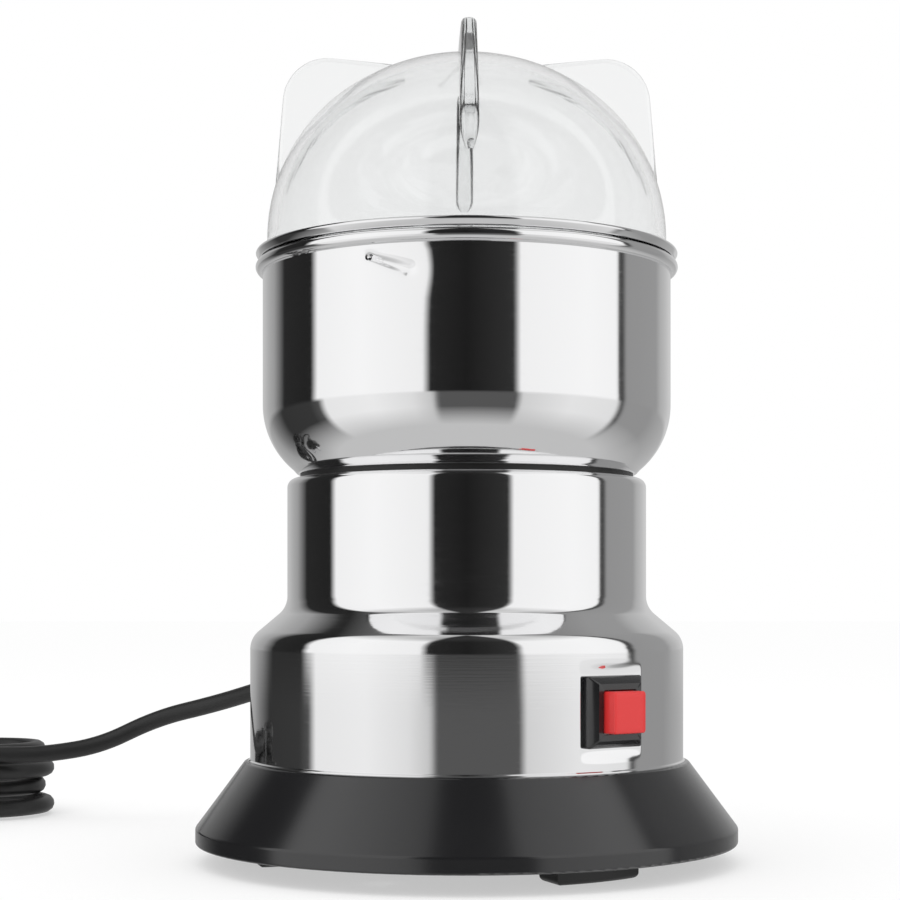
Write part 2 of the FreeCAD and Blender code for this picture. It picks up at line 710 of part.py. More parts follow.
def blade_nut():
    across = NUT_ACROSS_FLATS / math.sqrt(3.0)
    corners = [(across * math.cos(math.radians(60.0 * i)), across * math.sin(math.radians(60.0 * i))) for i in range(6)]
    body = slab(corners, NUT_LOW, NUT_LOW + NUT_HEIGHT)
    base = NUT_LOW + NUT_HEIGHT
    cap = lathe([
        (0.0, base - 0.5),
        (NUT_ACROSS_FLATS / 2.0 - 0.4, base - 0.5),
        (NUT_ACROSS_FLATS / 2.0 - 0.4, base + NUT_DOME, NUT_DOME),
        (0.0, base + NUT_DOME),
    ])
    return fused([body, cap]).cut(drum(TIP_RADIUS + RUNNING, NUT_LOW - 1.0, base + 0.5))


# Motor

def bearing(low):
    """A ball bearing's outer race with its shields, and its inner race."""
    outer = pipe(BEARING_RADIUS, BEARING_INNER + SLIP, low, low + BEARING_WIDTH)
    outer = outer.cut([
        pipe(BEARING_RADIUS - 2.0, BEARING_INNER - 0.5, low - 1.0, low + 0.5),
        pipe(BEARING_RADIUS - 2.0, BEARING_INNER - 0.5, low + BEARING_WIDTH - 0.5, low + BEARING_WIDTH + 1.0),
    ])
    inner = pipe(BEARING_INNER, SHAFT_RADIUS, low, low + BEARING_WIDTH)
    return outer, inner


def motor_mount():
    """The moulded bridge under the body's top: upper bearing seat, legs to the stator, screw bosses."""
    radius = NECK_RADIUS - SHEET - MOUNT_CLEARANCE
    seat = BEARING_RADIUS + 2.5
    shape = lathe([
        (SHAFT_RADIUS + 2.0, MOUNT_TOP),
        (radius, MOUNT_TOP),
        (radius, MOUNT_TOP - 2.4),
        (seat + 8.0, MOUNT_BOTTOM),
        (seat, MOUNT_BOTTOM, 1.0),
        (seat, UPPER_BEARING_BOTTOM),
        (BEARING_RADIUS + 0.02, UPPER_BEARING_BOTTOM),
        (BEARING_RADIUS + 0.02, UPPER_BEARING_TOP),
        (SHAFT_RADIUS + 2.0, UPPER_BEARING_TOP),
    ])
    legs = [drum(LEG_RADIUS, STACK_TOP, MOUNT_TOP - 1.0, x, y) for x, y in leg_places()]
    ribs = []
    for x, y in leg_places():
        angle = math.degrees(math.atan2(y, x))
        rib = Part.makeBox(MOUNT_RIB_LENGTH, MOUNT_RIB_THICKNESS, MOUNT_TOP - 1.0 - MOUNT_BOTTOM,
                           Vector(seat - 1.0, -MOUNT_RIB_THICKNESS / 2.0, MOUNT_BOTTOM))
        ribs.append(rib.rotated(CENTRE, AXIS, angle))
    whole = fused([shape] + legs + ribs)
    bolts = [drum(SCREW_RADIUS + RUNNING, STACK_TOP - 1.0, MOUNT_TOP - 3.0, x, y) for x, y in leg_places()]
    whole = in_motor(whole.cut(bolts))
    bosses = [drum(SCREW_RADIUS + 2.0, MOUNT_BOTTOM, MOUNT_TOP - 0.5, x, y) for x, y in bowl_screw_places()]
    taps = [drum(SCREW_RADIUS + RUNNING, MOUNT_BOTTOM - 1.0, MOUNT_TOP + 1.0, x, y) for x, y in bowl_screw_places()]
    return less(fused([whole] + bosses), taps)


def leg_places():
    """The four long screws' places about the stator, in the motor's axes."""
    return [(sx * LEG_X, sy * LEG_Y) for sx in (1, -1) for sy in (1, -1)]


def stator_core():
    """A two-pole lamination stack."""
    frame = slab(rectangle(STATOR_LENGTH, STATOR_WIDTH, STATOR_CORNER), STACK_BOTTOM, STACK_TOP)
    inner_x = STATOR_LENGTH - 2.0 * STATOR_YOKE
    inner_y = STATOR_WIDTH - 2.0 * STATOR_YOKE
    frame = frame.cut(slab(rectangle(inner_x, inner_y, 3.0), STACK_BOTTOM - 1.0, STACK_TOP + 1.0))
    poles = []
    for side in (0.0, 180.0):
        neck = slab(rectangle(inner_x / 2.0 + 1.0, POLE_WIDTH, 0.0, inner_x / 4.0 + 0.5), STACK_BOTTOM, STACK_TOP)
        shoe = sector(STATOR_BORE, STATOR_BORE + POLE_SHOE, STACK_BOTTOM, STACK_TOP, 90.0, POLE_SHOE_ANGLE)
        poles += [neck.rotated(CENTRE, AXIS, side), shoe.rotated(CENTRE, AXIS, side)]
    whole = fused([frame] + poles)
    cuts = [drum(STATOR_BORE, STACK_BOTTOM - 1.0, STACK_TOP + 1.0)]
    cuts += [drum(SCREW_RADIUS + SLIP, STACK_BOTTOM - 1.0, STACK_TOP + 1.0, x, y) for x, y in leg_places()]
    return in_motor(whole.cut(cuts))


def field_coils():
    """One wound coil round each pole's neck."""
    near = STATOR_BORE + POLE_SHOE + CLEAR
    far = STATOR_LENGTH / 2.0 - STATOR_YOKE - CLEAR
    inner_half = POLE_WIDTH / 2.0 + CLEAR
    outer_half = LEG_Y - LEG_RADIUS - CLEAR
    low, high = STACK_BOTTOM - CLEAR, STACK_TOP + CLEAR
    place = lambda y, z: Vector(near, y, z)
    span = Vector(far - near, 0, 0)
    wound = outline([(-outer_half, low - COIL_END, 4.0), (outer_half, low - COIL_END, 4.0),
                     (outer_half, high + COIL_END, 4.0), (-outer_half, high + COIL_END, 4.0)], place)
    window = outline([(-inner_half, low), (inner_half, low), (inner_half, high), (-inner_half, high)], place)
    ring = Part.Face(wound).extrude(span).cut(Part.Face(window).extrude(span))
    return [in_motor(ring.rotated(CENTRE, AXIS, side)) for side in (0.0, 180.0)]


def armature_core():
    """The rotor's slotted laminations, pressed on the shaft."""
    radius = STATOR_BORE - AIR_GAP
    disc = drum(radius, STACK_BOTTOM, STACK_TOP)
    slot = outward_block(SLOT_WIDTH, STACK_HEIGHT + 2.0, radius - SLOT_DEPTH, radius - 0.9,
                         (STACK_TOP + STACK_BOTTOM) / 2.0)
    mouth = outward_block(1.0, STACK_HEIGHT + 2.0, radius - 1.5, radius + 1.0, (STACK_TOP + STACK_BOTTOM) / 2.0)
    return disc.cut(ring_of(slot, ROTOR_SLOTS) + ring_of(mouth, ROTOR_SLOTS) + [drum(SHAFT_RADIUS, STACK_BOTTOM - 1.0,
                                                                                    STACK_TOP + 1.0)])


def armature_winding():
    """The wound coils: bars in the slots and a bundle of end turns above and below."""
    core = STATOR_BORE - AIR_GAP
    bar = outward_block(SLOT_WIDTH - 0.6, STACK_HEIGHT + 2.0 * BITE, core - SLOT_DEPTH + 0.3, core - 1.2,
                        (STACK_TOP + STACK_BOTTOM) / 2.0)
    inner = SHAFT_RADIUS + 2.0
    top = lathe([
        (inner, STACK_TOP + CLEAR),
        (END_TURN_RADIUS, STACK_TOP + CLEAR),
        (END_TURN_RADIUS, WINDING_TOP, 3.0),
        (inner, WINDING_TOP, 2.0),
    ])
    bottom = lathe([
        (inner, WINDING_BOTTOM, 2.0),
        (END_TURN_RADIUS, WINDING_BOTTOM, 3.0),
        (END_TURN_RADIUS, STACK_BOTTOM - CLEAR),
        (inner, STACK_BOTTOM - CLEAR),
    ])
    return fused([top, bottom] + ring_of(bar, ROTOR_SLOTS))


def commutator():
    """Copper bars on an insulating sleeve, with a riser beside the winding."""
    riser = COMMUTATOR_TOP - 1.8
    shape = lathe([
        (SHAFT_RADIUS, COMMUTATOR_BOTTOM),
        (COMMUTATOR_RADIUS, COMMUTATOR_BOTTOM),
        (COMMUTATOR_RADIUS, riser),
        (COMMUTATOR_RADIUS + 1.5, riser),
        (COMMUTATOR_RADIUS + 1.5, COMMUTATOR_TOP),
        (SHAFT_RADIUS, COMMUTATOR_TOP),
    ])
    groove = outward_block(0.5, COMMUTATOR_HEIGHT + 2.0, COMMUTATOR_RADIUS - 1.0, COMMUTATOR_RADIUS + 3.0,
                           (COMMUTATOR_TOP + COMMUTATOR_BOTTOM) / 2.0)
    return shape.cut(ring_of(groove, COMMUTATOR_BARS, 180.0 / COMMUTATOR_BARS))


def motor_shaft():
    """One shaft from the fan to the cutter, stepped to carry the blades."""
    return lathe([
        (0.0, FAN_BOTTOM - 0.8),
        (SHAFT_RADIUS, FAN_BOTTOM - 0.8, 0.4),
        (SHAFT_RADIUS, BLADE_SEAT - COLLAR_HEIGHT),
        (TIP_RADIUS, BLADE_SEAT - COLLAR_HEIGHT),
        (TIP_RADIUS, NUT_LOW + NUT_HEIGHT - CLEAR, 0.4),
        (0.0, NUT_LOW + NUT_HEIGHT - CLEAR),
    ])


def brush_axis_height():
    return (COMMUTATOR_BOTTOM + COMMUTATOR_TOP - 1.8) / 2.0


def brush_sets():
    """Both brushes, their brass holders and springs, made at the motor's -Y and turned."""
    z = brush_axis_height()
    start = COMMUTATOR_RADIUS + CLEAR
    holder_start = COMMUTATOR_RADIUS + 1.8
    holder_end = holder_start + HOLDER_LENGTH
    brush = outward_block(BRUSH_WIDTH, BRUSH_HEIGHT, start, start + BRUSH_LENGTH, z)
    brush = brush.cut(Part.makeCylinder(COMMUTATOR_RADIUS + RUNNING + 0.2, BRUSH_HEIGHT + 4.0,
                                        Vector(0, 0, z - BRUSH_HEIGHT / 2.0 - 2.0)))
    wide = BRUSH_WIDTH + 2.0 * (SLIP + HOLDER_WALL)
    tall = BRUSH_HEIGHT + 2.0 * (SLIP + HOLDER_WALL)
    holder = outward_block(wide, tall, holder_start, holder_end, z)
    holder = holder.cut(outward_block(BRUSH_WIDTH + 2.0 * SLIP, BRUSH_HEIGHT + 2.0 * SLIP, holder_start - 1.0,
                                      holder_end - HOLDER_WALL, z))
    spring = outward_rod(1.9, start + BRUSH_LENGTH, holder_end - HOLDER_WALL, z)
    spring = spring.cut(outward_rod(1.2, start + BRUSH_LENGTH - 1.0, holder_end, z))
    turns = (0.0, 180.0)
    return [[in_motor(piece.rotated(CENTRE, AXIS, turn)) for turn in turns] for piece in (brush, holder, spring)]


def lower_bracket():
    """The lower bearing bridge: seat, plate, posts up to the stator and ears down to the base."""
    low = LOWER_BEARING_BOTTOM - 0.8
    shape = lathe([
        (BEARING_RADIUS + 0.02, LOWER_BEARING_TOP),
        (BEARING_RADIUS + 0.02, LOWER_BEARING_BOTTOM),
        (BEARING_RADIUS - 2.5, LOWER_BEARING_BOTTOM),
        (BEARING_RADIUS - 2.5, low),
        (BRACKET_HUB_RADIUS, low, 0.8),
        (BRACKET_HUB_RADIUS, BRACKET_BOTTOM, 1.0),
        (BRACKET_RADIUS, BRACKET_BOTTOM),
        (BRACKET_RADIUS, BRACKET_TOP),
        (BEARING_RADIUS - 3.0, BRACKET_TOP),
        (BEARING_RADIUS - 3.0, LOWER_BEARING_TOP),
    ])
    posts = [drum(LEG_RADIUS, BRACKET_BOTTOM, STACK_BOTTOM, x, y) for x, y in leg_places()]
    z = brush_axis_height() - BRUSH_HEIGHT / 2.0 - SLIP - HOLDER_WALL
    seat = outward_block(BRUSH_WIDTH + 4.0, z - BRACKET_TOP + 1.0, COMMUTATOR_RADIUS + 4.0, BRACKET_RADIUS - 1.0,
                         (z + BRACKET_TOP - 1.0) / 2.0)
    ears = []
    taps = []
    for turn in (60.0, 180.0, 300.0):
        x = EAR_CIRCLE * math.cos(math.radians(turn))
        y = EAR_CIRCLE * math.sin(math.radians(turn))
        arm = Part.makeBox(EAR_CIRCLE - BRACKET_RADIUS + 4.0, 2.0 * EAR_RADIUS, BRACKET_THICKNESS,
                           Vector(BRACKET_RADIUS - 4.0, -EAR_RADIUS, BRACKET_BOTTOM)).rotated(CENTRE, AXIS, turn)
        ears += [arm, drum(EAR_RADIUS, SKIRT_TOP, BRACKET_TOP, x, y)]
        taps.append(drum(SCREW_RADIUS + RUNNING, SKIRT_TOP - 1.0, BRACKET_TOP - 1.0, x, y))
    whole = fused([shape] + posts + ears + [seat, seat.rotated(CENTRE, AXIS, 180.0)])
    holes = [drum(SCREW_RADIUS + SLIP, BRACKET_BOTTOM - 1.0, STACK_BOTTOM + 1.0, x, y) for x, y in leg_places()]
    vents = [sector(BRACKET_HUB_RADIUS + 4.0, BRACKET_RADIUS - 4.0, BRACKET_BOTTOM - 1.0, BRACKET_TOP + 1.0, turn, 22.0)
             for turn in (90.0, 270.0)]
    return in_motor(whole.cut(holes + vents + taps))


def stator_screws():
    x_y = [in_motor(Part.Vertex(x, y, 0)).Point for x, y in leg_places()]
    return [screw(p.x, p.y, BRACKET_BOTTOM, MOUNT_BOTTOM - 2.0, up=False) for p in x_y]


def base_screws():
    return [screw(x, y, DECK_BOTTOM, BRACKET_TOP - 1.5, up=False) for x, y in ear_places()]


def cover_screws():
    places = [at_azimuth(COVER_SCREW_CIRCLE, azimuth) for azimuth in cover_azimuths()]
    return [screw(x, y, PLATE_BOTTOM, DECK_BOTTOM - 2.0, up=False) for x, y in places]


def cooling_fan():
    """A disc with curved blades under it, on a hub."""
    disc_low = FAN_TOP - FAN_DISC
    disc = pipe(FAN_RADIUS, SHAFT_RADIUS, disc_low, FAN_TOP)
    hub = pipe(FAN_HUB_RADIUS, SHAFT_RADIUS, FAN_BOTTOM, FAN_TOP)
    bend = 22.0
    thin = FAN_BLADE_THICKNESS / 2.0
    ring = pipe(bend + thin, bend - thin, FAN_BOTTOM, disc_low + 0.3, FAN_HUB_RADIUS + 4.0, bend - 3.0)
    keep = pipe(FAN_RADIUS - 0.5, FAN_HUB_RADIUS - 0.5, FAN_BOTTOM, disc_low + 0.3)
    side = Part.makeBox(FAN_RADIUS, FAN_RADIUS, FAN_HEIGHT, Vector(2.0, -FAN_RADIUS * 0.6, FAN_BOTTOM))
    vane = ring.common(keep).common(side)
    vane = max(vane.Solids, key=lambda s: s.Volume)
    return fused([disc, hub] + ring_of(vane, FAN_BLADES))


# Lid

def dome_arcs(inset):
    """The dome's two tangent arcs, a wall's thickness further in for the inside."""
    low_z = lid_spring()
    angle = math.radians(DOME_BLEND_ANGLE)
    side = DOME_SIDE_ARC - inset
    crown = side + DOME_SHIFT / math.cos(angle)
    crown_z = low_z - DOME_SHIFT * math.tan(angle)
    on_side = lambda a: Vector(DOME_SHIFT + side * math.cos(a), 0, low_z + side * math.sin(a))
    on_crown = lambda a: Vector(crown * math.cos(a), 0, crown_z + crown * math.sin(a))
    upright = math.pi / 2.0
    lower = Part.Arc(on_side(0.0), on_side(angle / 2.0), on_side(angle))
    upper = Part.Arc(on_side(angle), on_crown((angle + upright) / 2.0), on_crown(upright))
    return [lower.toShape(), upper.toShape()], on_side(0.0), on_crown(upright)


def lid_base():
    return RIM_TOP + CLEAR


def lid_flange_low():
    return lid_base() + RING_LIP + RUNNING


def lid_spring():
    return lid_base() + LID_COLLAR_HEIGHT


def dome_solid(inset, low):
    arcs, spring, apex = dome_arcs(inset)
    foot_out = Vector(spring.x, 0, low)
    foot_in = Vector(0, 0, low)
    edges = [Part.LineSegment(foot_in, foot_out).toShape(), Part.LineSegment(foot_out, spring).toShape()] + arcs
    edges.append(Part.LineSegment(apex, foot_in).toShape())
    return Part.Face(Part.Wire(edges)).revolve(CENTRE, AXIS, 360)


def fin():
    """One grip fin, at the front: outline square to the dome, thicker towards its root."""
    top = lid_spring() + DOME_SIDE_ARC + FIN_CREST
    low = lid_spring() + 10.0
    place = lambda r, z: Vector(-8.0, -r, z)
    face = Part.Face(outline([
        (FIN_REACH, low),
        (FIN_TOP_REACH, top, FIN_CORNER),
        (FIN_TOP_INNER, top - FIN_FALL),
        (FIN_TOP_INNER, top - 14.0),
        (FIN_REACH - 12.0, low),
    ], place))
    plate = face.extrude(Vector(16.0, 0, 0))
    edge = FIN_EDGE_WIDTH / 2.0
    root = FIN_ROOT_WIDTH / 2.0
    plan = slab([(-root, -FIN_TOP_INNER + 1.0), (-edge, -FIN_REACH - 1.0), (edge, -FIN_REACH - 1.0),
                 (root, -FIN_TOP_INNER + 1.0)], low - 1.0, top + 1.0)
    blank = plate.common(plan)
    rims = []
    for e in blank.Edges:
        box = e.BoundBox
        centre = e.CenterOfMass
        on_side = abs(centre.x) > edge * 0.9
        outside = box.YMin < -FIN_TOP_INNER - 2.0 and centre.y < -FIN_TOP_INNER - 3.0
        upper = centre.z > top - FIN_CORNER - 1.0 or centre.y < -FIN_TOP_REACH
        if on_side and outside and upper and box.ZMin > low - 0.1 and box.XLength < 2.0:
            rims.append(e)
    return blank.makeFillet(FIN_EDGE_ROUND, rims)


def lid():
    """The clear lid: collar, flange and skirt, dome and three bayonet lugs. The moulding's fins are a node beside it."""
    flange_low = lid_flange_low()
    flange_high = flange_low + LID_FLANGE_THICKNESS
    inner = LID_RADIUS - LID_WALL
    arcs, spring, apex = dome_arcs(0.0)
    inner_arcs, inner_spring, inner_apex = dome_arcs(LID_WALL)
    skirt_in = LID_SKIRT_RADIUS - LID_WALL + 0.2
    skirt_low = RIM_TOP - LID_SKIRT_DEPTH
    flange_radius = ring_inner_radius() - RUNNING
    points = [(inner, flange_high), (skirt_in, flange_low - 1.5), (skirt_in, skirt_low), (LID_SKIRT_RADIUS, skirt_low),
              (LID_SKIRT_RADIUS, flange_low), (flange_radius, flange_low), (flange_radius, flange_high),
              (LID_RADIUS, flange_high)]
    vectors = [inner_spring] + [Vector(r, 0, z) for r, z in points] + [spring]
    edges = [Part.LineSegment(a, b).toShape() for a, b in zip(vectors, vectors[1:])] + arcs
    edges += [Part.LineSegment(apex, inner_apex).toShape()] + inner_arcs[::-1]
    shell = Part.Face(Part.Wire(Part.__sortEdges__(edges))).revolve(CENTRE, AXIS, 360)
    lug_high = lug_top()
    lugs = [sector(LID_SKIRT_RADIUS - 0.6, LUG_REACH, lug_high - LUG_HEIGHT, lug_high, azimuth, LUG_HALF_ANGLE)
            for azimuth in lug_azimuths()]
    return fused([shell] + lugs)


def lid_fins():
    """The four grip fins, each from the dome's outer face outwards."""
    free = fin().cut(dome_solid(0.0, lid_base()))
    return ring_of(max(free.Solids, key=lambda s: s.Volume), FIN_COUNT, FIN_TURN)


def bump_half_angle():
    return math.degrees((RAMP_GROOVE + SHEET) / BOWL_RADIUS)


def lug_azimuths():
    """Where the lugs stand when the lid is put on, just past the ramps' high ends."""
    start = RAMP_START - bump_half_angle() - LUG_HALF_ANGLE - 1.0
    return [start + 360.0 * i / RAMP_COUNT for i in range(RAMP_COUNT)]


def lug_top():
    return RIM_TOP - RAMP_BELOW_RIM - RAMP_DROP - RAMP_GROOVE - SHEET - CLEAR


def lid_turn():
    """The turn that brings the lugs under the ramps' low ends."""
    return RAMP_START + RAMP_SPAN - 2.0 - lug_azimuths()[0]


def ring_inner_radius():
    return BEAD_RADIUS - RING_BITE + 0.2


def lid_ring():
    """The bright band folded round the lid's flange."""
    low = lid_base()
    high = low + RING_HEIGHT
    web = ring_inner_radius()
    lip = web - RING_BITE * 0.7
    return lathe([
        (lip, low), (BEAD_RADIUS, low, 0.9), (BEAD_RADIUS, high, 0.9), (lip, high),
        (lip, high - RING_LIP + 0.05), (web, high - RING_LIP + 0.05), (web, low + RING_LIP), (lip, low + RING_LIP),
    ])


# Switch

def switch_height():
    return SKIRT_TOP + SWITCH_ABOVE_SKIRT


def switch_face():
    return BARREL_RADIUS - FLAT_DEPTH


def button_collar_size():
    return BUTTON_SIZE + 2.0 * BUTTON_COLLAR


def switch_housing():
    """The switch's black body with its bevelled bezel, hollow for the button."""
    z = switch_height()
    face = switch_face()
    outer = face + BEZEL_OUT
    front = BEZEL_SIZE - 2.0 * BEZEL_BEVEL
    base = outward_block(BEZEL_SIZE, BEZEL_SIZE, face, face + BEZEL_OUT * 0.45, z)
    square = lambda size, y: Part.makePolygon([Vector(sx * size / 2.0, -y, z + sz * size / 2.0)
                                               for sx, sz in ((-1, -1), (1, -1), (1, 1), (-1, 1), (-1, -1))])
    bevel = Part.makeLoft([square(BEZEL_SIZE, face + BEZEL_OUT * 0.45), square(front, outer)], True, True)
    body = outward_block(SWITCH_BODY_SIZE, SWITCH_BODY_SIZE, face - SWITCH_BODY_DEPTH, face + 0.2, z)
    whole = fused([base, bevel, body])
    opening = BUTTON_SIZE + 2.0 * SLIP
    room = button_collar_size() + 2.0 * SLIP
    mouth = outward_block(opening, opening, face - 3.0, outer + 1.0, z)
    chamber = outward_block(room, room, face - SWITCH_BODY_DEPTH + SWITCH_WALL, collar_stop(), z)
    return around(whole.cut([mouth, chamber]), SWITCH_AZIMUTH)


def collar_stop():
    """The chamber's front wall, which holds the button's collar back."""
    return switch_face() - SWITCH_WALL


def switch_button():
    """The red square key with its retaining collar and spring seat."""
    z = switch_height()
    front = switch_face() + BEZEL_OUT + BUTTON_OUT
    collar_front = collar_stop() - BUTTON_CLEAR
    collar_back = collar_front - BUTTON_COLLAR_THICKNESS
    key = outward_block(BUTTON_SIZE, BUTTON_SIZE, collar_back, front, z)
    rims = [e for e in key.Edges if abs(e.CenterOfMass.y + front) < 1e-6]
    key = key.makeFillet(0.5, rims)
    collar = outward_block(button_collar_size(), button_collar_size(), collar_back, collar_front, z)
    stem = outward_rod(SPRING_RADIUS - SPRING_WIRE - 0.4, collar_back - 3.0, collar_back + 0.5, z)
    return around(fused([key, collar, stem]), SWITCH_AZIMUTH)


def spring_ends():
    back = switch_face() - SWITCH_BODY_DEPTH + SWITCH_WALL
    front = collar_stop() - BUTTON_CLEAR - BUTTON_COLLAR_THICKNESS
    return back, front


def switch_spring():
    """The return spring between the body's back wall and the collar, as a sleeve of its wire's thickness."""
    back, front = spring_ends()
    z = switch_height()
    coil = outward_rod(SPRING_RADIUS, back + RUNNING, front - RUNNING, z)
    return around(coil.cut(outward_rod(SPRING_RADIUS - SPRING_WIRE, back - 1.0, front + 1.0, z)), SWITCH_AZIMUTH)


def switch_terminals():
    """Two blade terminals through the switch's back wall."""
    z = switch_height()
    back = switch_face() - SWITCH_BODY_DEPTH
    blades = []
    for side in (-1, 1):
        tab = outward_block(TERMINAL_THICKNESS, TERMINAL_WIDTH, back - TERMINAL_LENGTH, back, z)
        tab.translate(Vector(side * TERMINAL_SPACING / 2.0, 0, 0))
        blades.append(around(tab, SWITCH_AZIMUTH))
    return blades


# Cord

def cord_height():
    return SKIRT_TOP + CORD_ABOVE_SKIRT


def relief_tip():
    return BARREL_RADIUS + RELIEF_LENGTH


def strain_relief():
    """The cord's moulded sleeve: inner collar, waist in the shell, ribbed taper outside."""
    inside = BARREL_RADIUS - SHEET
    base = BARREL_RADIUS + 0.25
    corners = [(0, inside - CORD_INSIDE), (RELIEF_RADIUS + 1.0, inside - CORD_INSIDE), (RELIEF_RADIUS + 1.6, inside - 0.9),
               (RELIEF_RADIUS, inside - 0.9), (RELIEF_RADIUS, base + 0.1), (RELIEF_FLANGE, base + 0.1),
               (RELIEF_FLANGE, base + 1.6, 0.5)]
    ribs_start = base + 1.6
    step = (relief_tip() - ribs_start) / (RELIEF_GROOVES + 0.5)
    for i in range(RELIEF_GROOVES):
        share = (i + 0.5) / RELIEF_GROOVES
        radius = RELIEF_RADIUS + (RELIEF_TIP_RADIUS - RELIEF_RADIUS) * share
        rib_low = ribs_start + step * i
        corners += [(radius - 0.9, rib_low), (radius - 0.9, rib_low + step * 0.35), (radius, rib_low + step * 0.45),
                    (radius, rib_low + step * 0.95)]
    corners += [(RELIEF_TIP_RADIUS, relief_tip() - step * 0.45), (RELIEF_TIP_RADIUS, relief_tip()), (0, relief_tip())]
    sleeve = Part.Face(outline(corners)).revolve(CENTRE, AXIS, 360)
    sleeve.rotate(CENTRE, Vector(1, 0, 0), 90.0)
    sleeve.translate(Vector(0, 0, cord_height()))
    return around(sleeve, CORD_AZIMUTH)


def hank_bottom():
    return TIE_THICKNESS + TIE_CLEAR + CORD_DIAMETER / 2.0


def hank_level(k):
    """The height of the cord's middle in layer k, from the bottom one."""
    return hank_bottom() + HANK_LAYER * k


def free_route():
    """The cord's points from the strain relief to the hank: out, round to the left and down."""
    x, y = at_azimuth(relief_tip(), CORD_AZIMUTH)
    out_x, out_y = at_azimuth(1.0, CORD_AZIMUTH)
    z = cord_height()
    top = hank_level(HANK_LOOPS - 1)
    return [
        Vector(x, y, z),
        Vector(x + 11.0 * out_x, y + 11.0 * out_y, z),
        Vector(-66.0, 74.0, 33.2),
        Vector(-82.0, 78.5, 27.6),
        Vector(-98.0, 79.4, 20.0),
        Vector(-114.0, 79.1, 17.6),
        Vector(HANK_RIGHT, HANK_NEAR, top),
    ]


def rounded_route(points, name):
    """Straight runs joined by tangent arcs, each as wide as its two runs allow."""
    edges = []
    here = points[0]
    length = 0.0
    radii = []
    for before, corner, after in zip(points, points[1:], points[2:]):
        back = before.sub(corner)
        on = after.sub(corner)
        reach = 0.45 * min(back.Length, on.Length)
        back.normalize()
        on.normalize()
        turn = math.pi - back.getAngle(on)
        radius = reach / math.tan(turn / 2.0)
        start = corner.add(back * reach)
        end = corner.add(on * reach)
        inward = (back + on).normalize()
        mid = corner.add(inward * (radius / math.cos(turn / 2.0) - radius))
        edges.append(Part.LineSegment(here, start).toShape())
        edges.append(Part.Arc(start, mid, end).toShape())
        radii.append(round(radius, 1))
        here = end
    edges.append(Part.LineSegment(here, points[-1]).toShape())
    wire = Part.Wire(edges)
    print(name, "radii", radii, "least", min(radii), "length", round(wire.Length, 1))
    return wire


def arc_edge(a, tangent, b, backwards=False):
    """The arc that leaves a along its tangent and ends at b, or a line when they are in line."""
    chord = b.sub(a)
    unit = Vector(chord).normalize()
    cosine = max(-1.0, min(1.0, unit.dot(tangent)))
    half = math.acos(cosine)
    if backwards:
        a, b = b, a
    if half < 1e-5:
        return Part.LineSegment(a, b).toShape()
    reach = chord.Length / 2.0
    middle = a.add(b) * 0.5
    side = (tangent - unit * cosine).normalize()
    return Part.Arc(a, middle.add(side * (reach * math.tan(half / 2.0))), b).toShape()


def biarc(a, tangent_a, b, tangent_b):
    """Two arcs that join a to b and keep both tangents."""
    gap = b.sub(a)
    total = tangent_a + tangent_b
    bend = 2.0 * (1.0 - tangent_a.dot(tangent_b))
    along = gap.dot(total)
    if bend < 1e-9:
        reach = gap.dot(gap) / (2.0 * along)
    else:
        reach = (-along + math.sqrt(along * along + bend * gap.dot(gap))) / bend
    middle = (a + tangent_a * reach + b - tangent_b * reach) * 0.5
    first = arc_edge(a, tangent_a, middle)
    second = arc_edge(b, tangent_b * -1.0, middle, backwards=True)
    return [first, second]


def hank_offsets():
    """The runs' distances from the hank's middle line, spiralling in and out once in each pair of layers."""
    inner = HANK_FOLD * CORD_DIAMETER
    outer = inner + HANK_STEP
    quarter = [outer, (inner + outer) / 2.0, inner, (inner + outer) / 2.0]
    return [quarter[i % 4] for i in range(2 * HANK_LOOPS + 1)]


def hank_middle():
    return HANK_NEAR + hank_offsets()[0]


def hank_left():
    return HANK_RIGHT - HANK_RUN


def waist_run(start_x, side, offset, z_start, z_end):
    """One run along X, drawn in at the waist, going from z_start to z_end."""
    heading = -1.0 if start_x > (HANK_RIGHT + hank_left()) / 2.0 else 1.0
    end_x = start_x + heading * HANK_RUN
    y = hank_middle() + side * offset
    waist_y = hank_middle() + side * (offset - HANK_DRAW)
    along = Vector(heading, 0, 0)
    slope = 1.7 * (z_end - z_start) / HANK_RUN
    at_waist = Vector(heading, 0, slope).normalize()
    start = Vector(start_x, y, z_start)
    waist = Vector((start_x + end_x) / 2.0, waist_y, (z_start + z_end) / 2.0)
    end = Vector(end_x, y, z_end)
    return biarc(start, along, waist, at_waist) + biarc(waist, at_waist, end, along)


def half_turn(x, y_from, y_to, z, outward):
    """A half circle at a hank's end, in two quarters, bulging towards outward on X."""
    middle = (y_from + y_to) / 2.0
    radius = abs(y_to - y_from) / 2.0
    start = Vector(x, y_from, z)
    top = Vector(x + outward * radius, middle, z)
    end = Vector(x, y_to, z)
    diagonal = radius * math.sqrt(0.5)
    sign = 1.0 if y_to > y_from else -1.0
    first = Vector(x + outward * diagonal, middle - sign * diagonal, z)
    second = Vector(x + outward * diagonal, middle + sign * diagonal, z)
    return [Part.Arc(start, first, top).toShape(), Part.Arc(top, second, end).toShape()]


